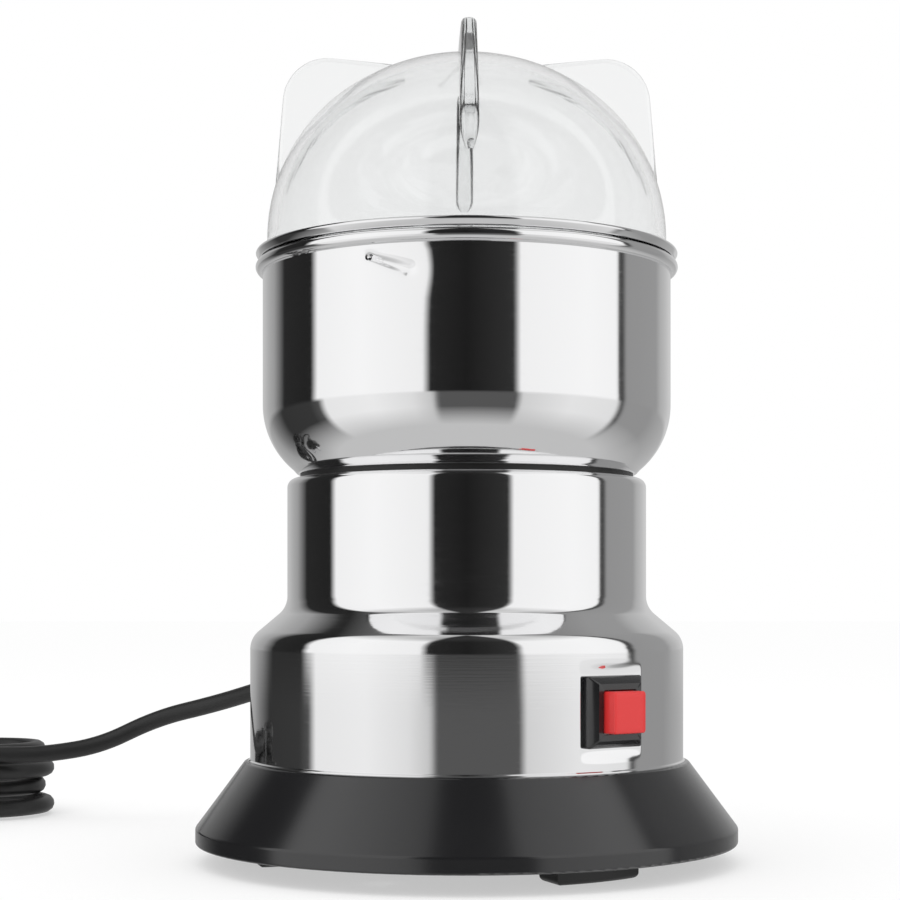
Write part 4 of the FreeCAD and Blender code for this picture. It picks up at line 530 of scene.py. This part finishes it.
class MILL_OT_stage(bpy.types.Operator):
    """Camera, floor, world and lamp."""
    bl_idname = "mill.stage"
    bl_label = "Studio"

    def execute(self, context):
        camera = bpy.data.objects.new("camera", bpy.data.cameras.new("camera"))
        context.scene.collection.objects.link(camera)
        camera.location = (0.0, -0.4564, 0.058)
        camera.rotation_euler = (math.pi / 2.0, 0.0, 0.0)
        camera.data.sensor_width = CAMERA_SENSOR
        camera.data.lens = FOCAL / PICTURE * CAMERA_SENSOR
        camera.data.shift_x = (PICTURE / 2.0 - AXIS_COLUMN) / PICTURE
        camera.data.shift_y = (EYE_ROW - PICTURE / 2.0) / PICTURE
        camera.data.clip_start = 0.01
        camera.data.clip_end = 50.0
        context.scene.camera = camera
        self.floor(context)
        self.world(context)
        lamp = bpy.data.objects.new("softbox", bpy.data.lights.new("softbox", "AREA"))
        context.scene.collection.objects.link(lamp)
        lamp.data.shape = "DISK"
        lamp.data.size = 0.9
        lamp.data.energy = 2.2
        lamp.location = (-0.25, -0.5, 1.1)
        lamp.rotation_euler = (math.radians(22.0), math.radians(-12.0), 0.0)
        lamp.visible_glossy = False
        lamp.visible_transmission = False
        context.scene.view_settings.view_transform = "Standard"
        return {"FINISHED"}

    def floor(self, context):
        """A large pale square. Reflected rays go through it to the world's even lower half, and for the camera it
        glows a little, so that its far edge meets the white backdrop while the shadow stays."""
        corners = np.array([[[-6.0, -6.0, 0.0], [6.0, -6.0, 0.0]], [[-6.0, 6.0, 0.0], [6.0, 6.0, 0.0]]])
        mesh = mesh_from_grid(corners, False, False)
        floor = bpy.data.objects.new("floor", mesh)
        context.scene.collection.objects.link(floor)
        surface = bpy.data.materials.new("pale_floor")
        surface.use_nodes = True
        tree = surface.node_tree
        shader = tree.nodes["Principled BSDF"]
        shader.inputs["Base Color"].default_value = (0.97, 0.97, 0.97, 1.0)
        shader.inputs["Roughness"].default_value = 0.9
        shader.inputs["Specular IOR Level"].default_value = 0.0
        glow = tree.nodes.new("ShaderNodeEmission")
        glow.inputs["Color"].default_value = (1.0, 1.0, 1.0, 1.0)
        seen = tree.nodes.new("ShaderNodeMixShader")
        path = tree.nodes.new("ShaderNodeLightPath")
        direct = math_node(tree, "ADD", path.outputs["Is Camera Ray"], path.outputs["Is Transmission Ray"], True)
        tree.links.new(math_node(tree, "MULTIPLY", direct, 0.5), seen.inputs[0])
        tree.links.new(shader.outputs[0], seen.inputs[1])
        tree.links.new(glow.outputs[0], seen.inputs[2])
        clear = tree.nodes.new("ShaderNodeBsdfTransparent")
        mix = tree.nodes.new("ShaderNodeMixShader")
        tree.links.new(reflected(tree, path), mix.inputs[0])
        tree.links.new(seen.outputs[0], mix.inputs[1])
        tree.links.new(clear.outputs[0], mix.inputs[2])
        tree.links.new(mix.outputs[0], tree.nodes["Material Output"].inputs["Surface"])
        mesh.materials.append(surface)

    def world(self, context):
        """White for the camera, for what is seen through the lid and for soft light; a studio's panels and dark
        gaps for reflections. The panels are a colour ramp on the azimuth, atan2(x, -y), as a share of a turn; one
        ramp serves the horizon, one the dimmer ceiling and one the hazier gaps below the horizon."""
        world = bpy.data.worlds.new("studio")
        context.scene.world = world
        world.use_nodes = True
        tree = world.node_tree
        direction = tree.nodes.new("ShaderNodeTexCoord").outputs["Generated"]
        split = tree.nodes.new("ShaderNodeSeparateXYZ")
        tree.links.new(direction, split.inputs[0])
        back = math_node(tree, "MULTIPLY", split.outputs["Y"], -1.0)
        angle = math_node(tree, "ARCTAN2", split.outputs["X"], back)
        above = math_node(tree, "MAXIMUM", math_node(tree, "SUBTRACT", split.outputs["Z"], 0.2), 0.0)
        lean = math_node(tree, "SUBTRACT", 1.0, math_node(tree, "MULTIPLY", above, 0.2))
        share = math_node(tree, "MULTIPLY_ADD", math_node(tree, "MULTIPLY", angle, lean), 1.0 / (2.0 * math.pi))
        share.node.inputs[2].default_value = 0.5
        level = self.panels(tree, share, [
            (-180, 0.62), (-154, 0.50), (-136, 0.34), (-122, 0.022), (-95, 0.016), (-90, 0.95), (-60, 1.0),
            (-24, 0.93), (-20, 0.02), (0, 0.012), (26, 0.03), (29.5, 0.95), (70, 1.0), (91, 0.97), (93, 0.05),
            (96, 0.08), (99, 0.3), (131, 0.32), (138, 0.44), (158, 0.6), (180, 0.62)])
        upper = self.panels(tree, share, [
            (-180, 0.62), (-154, 0.5), (-136, 0.28), (-122, 0.16), (-90, 0.15), (-83, 0.5), (-60, 0.62), (-30, 0.5),
            (-22, 0.36), (-18, 0.03), (4, 0.03), (25, 0.05), (31, 0.6), (60, 0.68), (88, 0.4), (95, 0.22),
            (131, 0.25), (138, 0.33), (158, 0.5), (180, 0.62)])
        lower = self.panels(tree, share, [
            (-180, 0.55), (-150, 0.35), (-140, 0.2), (-126, 0.035), (-97, 0.04), (-89.5, 0.08), (-84.5, 0.86),
            (-53, 0.9), (-30, 0.78), (-19, 0.6), (-15, 0.095), (27, 0.095), (31, 0.68), (60, 0.84), (91, 0.8),
            (95, 0.06), (99, 0.3), (125, 0.3), (136, 0.36), (158, 0.45), (180, 0.55)])
        bands = self.blend(tree, self.between(tree, split.outputs["Z"], (0.78, 0.93), (0.0, 1.0)), level, upper)
        bands = self.blend(tree, self.between(tree, split.outputs["Z"], (0.0, -0.05), (0.0, 1.0)), bands, lower)
        bands = self.blend(tree, self.between(tree, split.outputs["Z"], (-0.35, -0.7), (0.0, 1.0)), bands, 0.56)
        path = tree.nodes.new("ShaderNodeLightPath")
        seen = self.blend(tree, reflected(tree, path), 1.0, bands)
        background = tree.nodes["Background"]
        tree.links.new(seen, background.inputs["Color"])
        background.inputs["Strength"].default_value = 1.0

    def panels(self, tree, share, stops):
        """A colour ramp from (azimuth in degrees, brightness) stops."""
        ramp = tree.nodes.new("ShaderNodeValToRGB")
        elements = ramp.color_ramp.elements
        elements[0].position, elements[1].position = 0.0, 1.0
        for stop, (azimuth, value) in enumerate(stops):
            at = (azimuth + 180.0) / 360.0
            element = elements[0] if stop == 0 else elements[-1] if stop == len(stops) - 1 else elements.new(at)
            element.color = (value, value, value, 1.0)
        tree.links.new(share, ramp.inputs[0])
        return ramp.outputs[0]

    def blend(self, tree, factor, first, second):
        """The first value at factor 0, the second at 1; each is a socket or a number."""
        node = tree.nodes.new("ShaderNodeMix")
        tree.links.new(factor, node.inputs["Factor"])
        feed(tree, node.inputs["A"], first)
        feed(tree, node.inputs["B"], second)
        return node.outputs["Result"]

    def between(self, tree, value, source, target):
        """A value carried from one range to another, held at its ends."""
        node = tree.nodes.new("ShaderNodeMapRange")
        node.inputs["From Min"].default_value, node.inputs["From Max"].default_value = source
        node.inputs["To Min"].default_value, node.inputs["To Max"].default_value = target
        tree.links.new(value, node.inputs["Value"])
        return node.outputs[0]


# Cord

TIP = np.array([-43.664, 54.695, 36.5])


def arc_points(a, tangent, b):
    """One arc that leaves a along its tangent and ends at b, as a weighted corner.

    The corner lies on the tangent at c.c / (2 c.t), with c the chord, and its weight is the cosine of half the
    arc's turn, which makes a square rational curve an exact arc."""
    chord = b - a
    along = float(chord @ tangent)
    return a + tangent * (float(chord @ chord) / (2.0 * along)), along / float(np.linalg.norm(chord))


def biarc_points(a, tangent_a, b, tangent_b):
    """Two arcs from a to b that keep both tangents; they meet halfway between the two tangents' equal reaches."""
    gap = b - a
    total = tangent_a + tangent_b
    bend = 2.0 * (1.0 - float(tangent_a @ tangent_b))
    along = float(gap @ total)
    if bend < 1e-9:
        reach = float(gap @ gap) / (2.0 * along)
    else:
        reach = (-along + math.sqrt(along * along + bend * float(gap @ gap))) / bend
    middle = (a + tangent_a * reach + b - tangent_b * reach) / 2.0
    first, weight_a = arc_points(a, tangent_a, middle)
    second, weight_b = arc_points(b, -tangent_b, middle)
    return [(first, weight_a), (middle, 1.0), (second, weight_b), (b, 1.0)]


def cord_route():
    """The cord's corner points and weights: the free stretch, four layers of the hank, and the tail to the plug."""
    right, left, near_y = -133.8, -201.8, 79.0
    inner, step, draw = 13.5, 5.8, 9.0
    outer = inner + step
    middle_offset = (inner + outer) / 2.0
    offsets = [outer, middle_offset, inner, middle_offset] * 2 + [outer]
    centre = near_y + outer
    level = [2.9 + 4.95 * k for k in range(4)]
    azimuth = math.radians(-141.4)
    out = np.array([math.sin(azimuth), -math.cos(azimuth), 0.0])
    route = [TIP, TIP + 11.0 * out, np.array([-66.0, 74.0, 31.6]), np.array([-82.0, 78.5, 27.6]),
             np.array([-98.0, 79.4, 20.0]), np.array([-114.0, 79.1, 17.6]), np.array([right, near_y, level[3]])]
    points = [(route[0], 1.0)]
    for before, corner, after in zip(route, route[1:], route[2:]):
        back, on = before - corner, after - corner
        reach = 0.45 * min(np.linalg.norm(back), np.linalg.norm(on))
        back = back / np.linalg.norm(back)
        on = on / np.linalg.norm(on)
        start, end = corner + back * reach, corner + on * reach
        half = math.acos(float(np.clip(-(back @ on), -1.0, 1.0))) / 2.0
        points += [((points[-1][0] + start) / 2.0, 1.0), (start, 1.0), (corner, math.cos(half)), (end, 1.0)]
    points += [((points[-1][0] + route[-1]) / 2.0, 1.0), (route[-1], 1.0)]

    def run(start_x, side, offset, z_start, z_end):
        heading = -1.0 if start_x > (right + left) / 2.0 else 1.0
        end_x = start_x + heading * (right - left)
        along = np.array([heading, 0.0, 0.0])
        waist_way = np.array([heading, 0.0, 1.7 * (z_end - z_start) / (right - left)])
        waist_way /= np.linalg.norm(waist_way)
        start = np.array([start_x, centre + side * offset, z_start])
        waist = np.array([(start_x + end_x) / 2.0, centre + side * (offset - draw), (z_start + z_end) / 2.0])
        end = np.array([end_x, centre + side * offset, z_end])
        return biarc_points(start, along, waist, waist_way) + biarc_points(waist, waist_way, end, along)

    def turn(x, y_from, y_to, z, way):
        radius = abs(y_to - y_from) / 2.0
        edge = x + way * radius
        weight = math.sqrt(0.5)
        return [(np.array([edge, y_from, z]), weight), (np.array([edge, (y_from + y_to) / 2.0, z]), 1.0),
                (np.array([edge, y_to, z]), weight), (np.array([x, y_to, z]), 1.0)]

    for loop in range(4):
        k = 2 * loop
        z = level[3 - loop]
        z_in = z if loop == 0 else level[4 - loop]
        points += run(right, -1.0, offsets[k], z_in, z)
        points += turn(left, centre - offsets[k], centre + offsets[k + 1], z, -1.0)
        points += run(left, 1.0, offsets[k + 1], z, z)
        points += turn(right, centre + offsets[k + 1], centre - offsets[k + 2], z, 1.0)
    points += run(right, -1.0, outer, level[0], level[0])
    points += turn(left, near_y, near_y - 30.0, level[0], -1.0)
    plug = np.array([left + 16.0, near_y - 30.0, 6.85])
    ahead = np.array([1.0, 0.0, 0.0])
    points += biarc_points(points[-1][0], ahead, plug, ahead)
    points += [(plug + ahead * 2.25, 1.0), (plug + ahead * 4.5, 1.0)]
    return points


class MILL_OT_cord(bpy.types.Operator):
    """The mains cord as one curve from the sleeve to the plug, with its hank."""
    bl_idname = "mill.cord"
    bl_label = "Cord"

    def execute(self, context):
        points = cord_route()
        curve = bpy.data.curves.new("mains_cord", "CURVE")
        curve.dimensions = "3D"
        spline = curve.splines.new("NURBS")
        spline.points.add(len(points) - 1)
        flat = np.array([[*(p * MM), w] for p, w in points])
        spline.points.foreach_set("co", flat.ravel())
        spline.order_u = 3
        spline.use_bezier_u = True
        spline.use_endpoint_u = True
        spline.resolution_u = 7
        curve.bevel_depth = sizes().cord_thickness / 2.0
        curve.bevel_resolution = 4
        curve.use_fill_caps = True
        curve.twist_mode = "MINIMUM"
        cord = bpy.data.objects.new("mains_cord", curve)
        context.scene.collection.objects.link(cord)
        curve.materials.append(material("rubber_black"))
        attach(cord, "housing")
        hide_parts("cord_free", "cord_hank")
        return {"FINISHED"}


# Steel

COARSE_STEPS = 300

# The bayonet ramps: azimuth of the first one's high end, span and drop of the centre line, its high end's depth
# below the rim, and the wall's middle radius
RAMP_HIGH = -26.0
RAMP_SPAN = 11.0
RAMP_DROP = 3.1
RAMP_START = 5.3
RAMP_RADIUS = 45.9
RAMP_REACH = 7.0


def ramp_depth(a, z):
    """How deep the wall is pressed in, in millimetres, from the distance d to the nearest ramp's centre line.

    The groove is g exp(-(d / w)^2), its half width w growing and its depth g falling along the line, in a shallow
    dish 0.14 exp(-(d / 5)^2)."""
    slope = np.array([math.radians(RAMP_SPAN) * RAMP_RADIUS, -RAMP_DROP])
    length = float(np.linalg.norm(slope))
    unit = slope / length
    turn = (np.degrees(a) - RAMP_HIGH + 60.0) % 120.0 - 60.0
    x = np.radians(turn) * RAMP_RADIUS
    y = z - (RIM_TOP - RAMP_START)
    along = np.clip(x * unit[0] + y * unit[1], 0.0, length)
    d = np.hypot(x - along * unit[0], y - along * unit[1])
    share = along / length
    width = 0.5 + 0.75 * share
    start_pit = 0.25 * np.exp(-((x ** 2 + y ** 2) / 0.7 ** 2))
    fade = smooth_step((RIM_TOP - 2.9 - z) / 1.8)
    groove = (0.9 - 0.25 * share) * (1.0 - 0.2 * smooth_step((share - 0.6) / 0.4))
    return (groove * np.exp(-(d / width) ** 2) + start_pit + 0.14 * np.exp(-(d / 5.0) ** 2)) * fade


class MILL_OT_bowl(bpy.types.Operator):
    """The steel bowl with its rolled rim and three pressed ramps."""
    bl_idname = "mill.bowl"
    bl_label = "Bowl"

    def execute(self, context):
        wall = sizes().wall / MM
        floor = BOWL_BOTTOM
        outer = [(12.0, floor), (38.2, floor, 0.9), (39.2, floor + 1.1), (46.0, floor + 6.9, 18.6),
                 (46.0, RIM_TOP - 2.4)]
        inner = offset_sheet(outer, wall)
        angles = np.radians(np.linspace(-78.0, 176.0, 40))
        bead = np.stack([46.2 + 1.4 * np.cos(angles), RIM_TOP - 1.4 + 1.4 * np.sin(angles)], axis=1)
        path = np.concatenate([rounded(outer, 3.0), bead, rounded(inner, 3.0)[::-1]])
        path = refined(dense(path, 3.0), RIM_TOP - 12.5, RIM_TOP - 2.8, 0.3)
        zones = [(math.radians(RAMP_HIGH + 120.0 * k - RAMP_REACH),
                  math.radians(RAMP_HIGH + RAMP_SPAN + 120.0 * k + RAMP_REACH)) for k in (1, 2, 3)]
        azimuths = finer(0.0, 2.0 * math.pi, COARSE_STEPS, zones, math.radians(0.35))

        def pressed(a, r, z):
            """The upright wall, inside and out, moved in by the ramps' depth."""
            return np.where((r > 44.5) & (z > RIM_TOP - 24.0), r - ramp_depth(a, z), r)

        finish_piece("steel_bowl", [turned(path, True, pressed, azimuths)], material("steel_polished"), "housing",
                     ["bowl"])
        return {"FINISHED"}


SWITCH_TURN = math.radians(38.6)
SWITCH_HEIGHT = SKIRT_TOP + 12.8
FLAT = 48.0
FLAT_HALF_TURN = 0.26


class MILL_OT_body(bpy.types.Operator):
    """The stepped steel body, flat round the switch."""
    bl_idname = "mill.body"
    bl_label = "Body"

    def execute(self, context):
        low = SKIRT_TOP
        outer = [(49.2, low), (49.2, low + 0.3, 0.12), (48.8, low + 0.5, 0.12), (48.8, low + 27.5, 5.2),
                 (40.5, low + 34.5, 5.2), (40.5, BODY_TOP, 2.0), (12.0, BODY_TOP)]
        wall = sizes().wall / MM
        inner = [(48.0, low), (48.0, low + 27.5, 4.4), (39.7, low + 34.5, 6.0), (39.7, BODY_TOP - wall, 1.2),
                 (12.0, BODY_TOP - wall)]
        path = np.concatenate([rounded(outer, 3.0), rounded(inner, 3.0)[::-1]])
        path = refined(dense(path, 3.0), low + 0.6, low + 26.0, 0.4)
        zone = (SWITCH_TURN - FLAT_HALF_TURN, SWITCH_TURN + FLAT_HALF_TURN)
        azimuths = finer(0.0, 2.0 * math.pi, COARSE_STEPS, [zone], math.radians(0.3))

        def flattened(a, r, z):
            """The wall pressed towards a plane square to the switch, flat / cos(a - switch) from the shaft.

            The depth d past the plane is taken as d^2 / (d + 0.05), which rounds the flat's sides, and fades above
            and below the flat."""
            turn = np.angle(np.exp(1j * (a - SWITCH_TURN)))
            front = np.abs(turn) < 0.3
            plane = FLAT / np.cos(np.where(front, turn, 0.0)) - np.where(r > 48.4, 0.0, wall)
            past = np.where(front & (r > 47.0), np.maximum(r - plane, 0.0), 0.0)
            fade = smooth_step((10.6 - np.abs(z - SWITCH_HEIGHT)) / 2.4)
            return r - fade * past ** 2 / (past + 0.05)

        finish_piece("steel_body", [turned(path, True, flattened, azimuths)], material("steel_polished"), "housing",
                     ["body_shell"])
        return {"FINISHED"}


# Lid

SPRING = LID_BASE + 4.7


def dome_path(inset):
    """The dome's section: a side arc of 40 about (5, spring) up to 55 degrees, then a crown about the axis whose
    radius is 40 + 5 / cos(55), both less the inset."""
    blend = math.radians(55.0)
    side = 40.0 - inset
    crown = side + 5.0 / math.cos(blend)
    low = np.linspace(0.0, blend, 56)
    high = np.linspace(blend, math.pi / 2.0, 44)[1:]
    crown_z = SPRING - 5.0 * math.tan(blend)
    return np.concatenate([
        np.stack([5.0 + side * np.cos(low), SPRING + side * np.sin(low)], axis=1),
        np.stack([np.maximum(crown * np.cos(high), 0.0), crown_z + crown * np.sin(high)], axis=1),
    ])


def polar(path):
    """A section's points seen from the side arc's centre: angles and distances, in order of angle."""
    r, z = path[:, 0] - 5.0, path[:, 1] - SPRING
    angle = np.arctan2(z, r)
    order = np.argsort(angle)
    return angle[order], np.hypot(r, z)[order]


def fin_mesh(azimuth, rounding):
    """One fin. On each ray from the side arc's centre it runs from just inside the dome out to the fin's outline.

    Across the ray it is a plate with quarter circles at its outer edge. Its half width goes from root at the dome to
    edge at 12 out, and near the ends, where the fin is lower than low_end, it narrows to a point as a circle does."""
    root, edge, low_end = 2.1, 1.5, 2.6
    corners = [(43.4, SPRING + 10.6), (40.7, SPRING + 42.5, 10.0), (15.0, SPRING + 39.9)]
    outline = dense(rounded(corners, 4.0), 0.25, False)
    edge_angle, edge_reach = polar(outline)
    dome_angle, dome_reach = polar(dome_path(0.12))
    angles = np.linspace(edge_angle[0], edge_angle[-1], 170)
    inner = np.interp(angles, dome_angle, dome_reach)
    reach = np.interp(angles, edge_angle, edge_reach)
    keep = reach > inner + 0.14
    angles, inner, reach = angles[keep], inner[keep], reach[keep]
    height = reach - inner
    corner = np.minimum(rounding, height * 0.9)
    quarter = np.linspace(0.0, math.pi / 2.0, 7)
    out = np.concatenate([np.linspace(0.0, 1.0, 6)[:-1][None, :] * (height - corner)[:, None],
                          (height - corner)[:, None] + corner[:, None] * np.sin(quarter)[None, :]], axis=1)
    drop = np.concatenate([np.zeros((len(angles), 5)),
                           corner[:, None] * (1.0 - np.cos(quarter))[None, :]], axis=1)
    ray = inner[:, None] + out
    r = 5.0 + ray * np.cos(angles)[:, None]
    z = SPRING + ray * np.sin(angles)[:, None]
    low = 1.0 - np.clip(height / low_end, 0.0, 1.0)
    pointed = np.sqrt(1.0 - low ** 2)[:, None]
    half = (root - (root - edge) * np.clip(out / 12.0, 0.0, 1.0)) * pointed
    across = np.maximum(half - drop, 0.02)
    side_a = np.stack([across, -r, z], axis=-1)
    side_b = np.stack([-across, -r, z], axis=-1)[:, ::-1]
    loops = np.concatenate([side_a, side_b], axis=1)
    c, s = math.cos(azimuth), math.sin(azimuth)
    spun = np.stack([loops[..., 0] * c - loops[..., 1] * s, loops[..., 0] * s + loops[..., 1] * c, loops[..., 2]],
                    axis=-1)
    return lofted(spun * MM)


def lug_mesh(azimuth):
    """A short block on the skirt: a rounded section carried round the shaft."""
    section = rectangle_loop(2.1, 1.8, 0.25, 4)
    r = 43.75 + section[:, 0]
    top = RIM_TOP - RAMP_START - RAMP_DROP - 1.2 - 0.8 - 0.3
    z = top - 0.9 + section[:, 1]
    turns = azimuth + np.radians(np.linspace(-4.0, 4.0, 13))
    a, rr = np.meshgrid(turns, r, indexing="ij")
    zz = np.broadcast_to(z, rr.shape)
    return lofted(np.stack([rr * np.sin(a), -rr * np.cos(a), zz], axis=-1) * MM)


class MILL_OT_lid(bpy.types.Operator):
    """The clear lid with its dome, flange, skirt, four fins and three lugs."""
    bl_idname = "mill.lid"
    bl_label = "Lid"

    def execute(self, context):
        wall = sizes().dome_wall / MM
        flange_high = FLANGE_LOW + 1.1
        dome = dome_path(0.0)
        inside = dome_path(wall)
        below = rounded([
            (45.0, SPRING), (45.0, flange_high, 0.35), (46.35, flange_high, 0.2), (46.35, FLANGE_LOW, 0.2),
            (43.3, FLANGE_LOW, 0.35), (43.3, RIM_TOP - 13.0, 0.5), (41.5, RIM_TOP - 13.0, 0.5),
            (41.5, FLANGE_LOW - 1.5, 1.5), (43.0, flange_high, 1.5), (43.0, SPRING),
        ], 15.0)
        path = np.concatenate([dome[::-1], below[1:-1], inside])
        meshes = [turned(path, False)]
        meshes += [fin_mesh(math.radians(0.8 + 90.0 * k), sizes().fin_round / MM) for k in range(4)]
        start = RAMP_HIGH - math.degrees(2.0 / 46.0) - 5.0
        meshes += [lug_mesh(math.radians(start + 120.0 * k)) for k in range(3)]
        finish_piece("clear_dome", meshes, material("plastic_clear"), "lid", ["lid", "lid_fins"],
                     40.0)
        return {"FINISHED"}


class MILL_OT_rim(bpy.types.Operator):
    """The bright band folded round the lid's flange."""
    bl_idname = "mill.rim"
    bl_label = "Rim band"

    def execute(self, context):
        high = LID_BASE + 1.9
        path = rounded([
            (45.42, LID_BASE, 0.1), (46.85, LID_BASE, 0.4), (47.6, high - 0.55, 0.45), (47.25, high, 0.3),
            (45.42, high, 0.1),
            (45.42, high - 0.35, 0.08), (46.4, high - 0.35), (46.4, LID_BASE + 0.4), (45.42, LID_BASE + 0.4, 0.08),
        ], 9.0, closed=True)
        finish_piece("rim_band", [turned(path, True)], material("steel_polished"), "lid_band", ["lid_ring"],
                     50.0)
        return {"FINISHED"}


# Switch

def at_switch(loop, distance):
    """A flat outline placed square to the switch's axis: out along the azimuth, across it and up."""
    out = np.array([math.sin(SWITCH_TURN), -math.cos(SWITCH_TURN), 0.0])
    across = np.array([math.cos(SWITCH_TURN), math.sin(SWITCH_TURN), 0.0])
    points = out * distance + loop[:, :1] * across + loop[:, 1:] * np.array([0.0, 0.0, 1.0])
    return (points + np.array([0.0, 0.0, SWITCH_HEIGHT])) * MM


def square_stack(levels):
    """Rounded squares (size, distance, corner) placed along the switch's axis."""
    return lofted([at_switch(rectangle_loop(size, size, corner), distance) for size, distance, corner in levels])


class MILL_OT_switch(bpy.types.Operator):
    """The bezel with its chamber and the red key."""
    bl_idname = "mill.switch"
    bl_label = "Switch"

    def execute(self, context):
        front = FLAT + 3.0
        bezel = square_stack([
            (13.0, FLAT - 16.0, 0.6), (13.0, FLAT, 0.6), (15.0, FLAT, 0.5), (15.0, FLAT + 1.2, 0.5),
            (14.85, FLAT + 1.45, 0.5), (12.1, front - 0.12, 0.5), (11.8, front, 0.5), (9.3, front, 0.45),
            (9.0, front - 0.2, 0.4), (9.0, FLAT - 1.2, 0.4), (11.0, FLAT - 1.2, 0.4), (11.0, FLAT - 14.8, 0.4),
        ])
        finish_piece("switch_bezel", [bezel], material("plastic_black"), "housing", ["switch_housing"],
                     30.0)
        tip = front + 3.2
        back = FLAT - 1.2 - 0.3 - 1.4
        key = square_stack([
            (3.4, back - 3.0, 1.6), (3.4, back, 1.6), (10.7, back, 0.4), (10.7, back + 1.4, 0.4),
            (8.7, back + 1.4, 0.5), (8.7, tip - 0.55, 0.5), (8.62, tip - 0.3, 0.5), (8.4, tip - 0.1, 0.55),
            (8.0, tip, 0.6), (6.0, tip - 0.03, 0.8),
        ])
        finish_piece("red_key", [key], material("plastic_red"), "button", ["switch_button"], 40.0)
        return {"FINISHED"}


# What the frame already holds

class MILL_OT_carried(bpy.types.Operator):
    """Gives every piece that is shown from the frame its own material."""
    bl_idname = "mill.carried"
    bl_label = "Frame's pieces"

    def execute(self, context):
        own = {"commutator": "commutator_copper"}
        for part in frame["record"]["subparts"]:
            node = frame["nodes"][part["node"]]
            node.data.materials.clear()
            name = own.get(part["node"])
            node.data.materials.append(bpy.data.materials[name] if name else material(part["material_slot"]))
            node.data.polygons.foreach_set("use_smooth", np.ones(len(node.data.polygons), dtype=bool))
        return {"FINISHED"}


class MILL_OT_finishes(bpy.types.Operator):
    """Makes the finishes that the pieces share."""
    bl_idname = "mill.finishes"
    bl_label = "Finishes"

    def execute(self, context):
        make_materials()
        return {"FINISHED"}


STEPS = (MILL_OT_finishes, MILL_OT_stage, MILL_OT_cord, MILL_OT_carried, MILL_OT_body, MILL_OT_bowl, MILL_OT_lid,
         MILL_OT_rim, MILL_OT_switch)


class MILL_PT_panel(bpy.types.Panel):
    """Lists the steps, the sizes and the colours."""
    bl_idname = "MILL_PT_panel"
    bl_label = "Grain mill"
    bl_space_type = "VIEW_3D"
    bl_region_type = "UI"
    bl_category = "Mill"

    def draw(self, context):
        for step in STEPS:
            self.layout.operator(step.bl_idname)
        for group in (context.scene.mill_sizes, context.scene.mill_colours):
            for name in group.__annotations__:
                self.layout.prop(group, name)


CLASSES = (MillSizes, MillColours) + STEPS + (MILL_PT_panel,)


def register():
    for cls in CLASSES:
        bpy.utils.register_class(cls)
    bpy.types.Scene.mill_sizes = bpy.props.PointerProperty(type=MillSizes)
    bpy.types.Scene.mill_colours = bpy.props.PointerProperty(type=MillColours)


def unregister():
    del bpy.types.Scene.mill_colours
    del bpy.types.Scene.mill_sizes
    for cls in reversed(CLASSES):
        bpy.utils.unregister_class(cls)


def main():
    register()
    for step in STEPS:
        area, name = step.bl_idname.split(".")
        getattr(getattr(bpy.ops, area), name)()


if __name__ == "__main__":
    main()
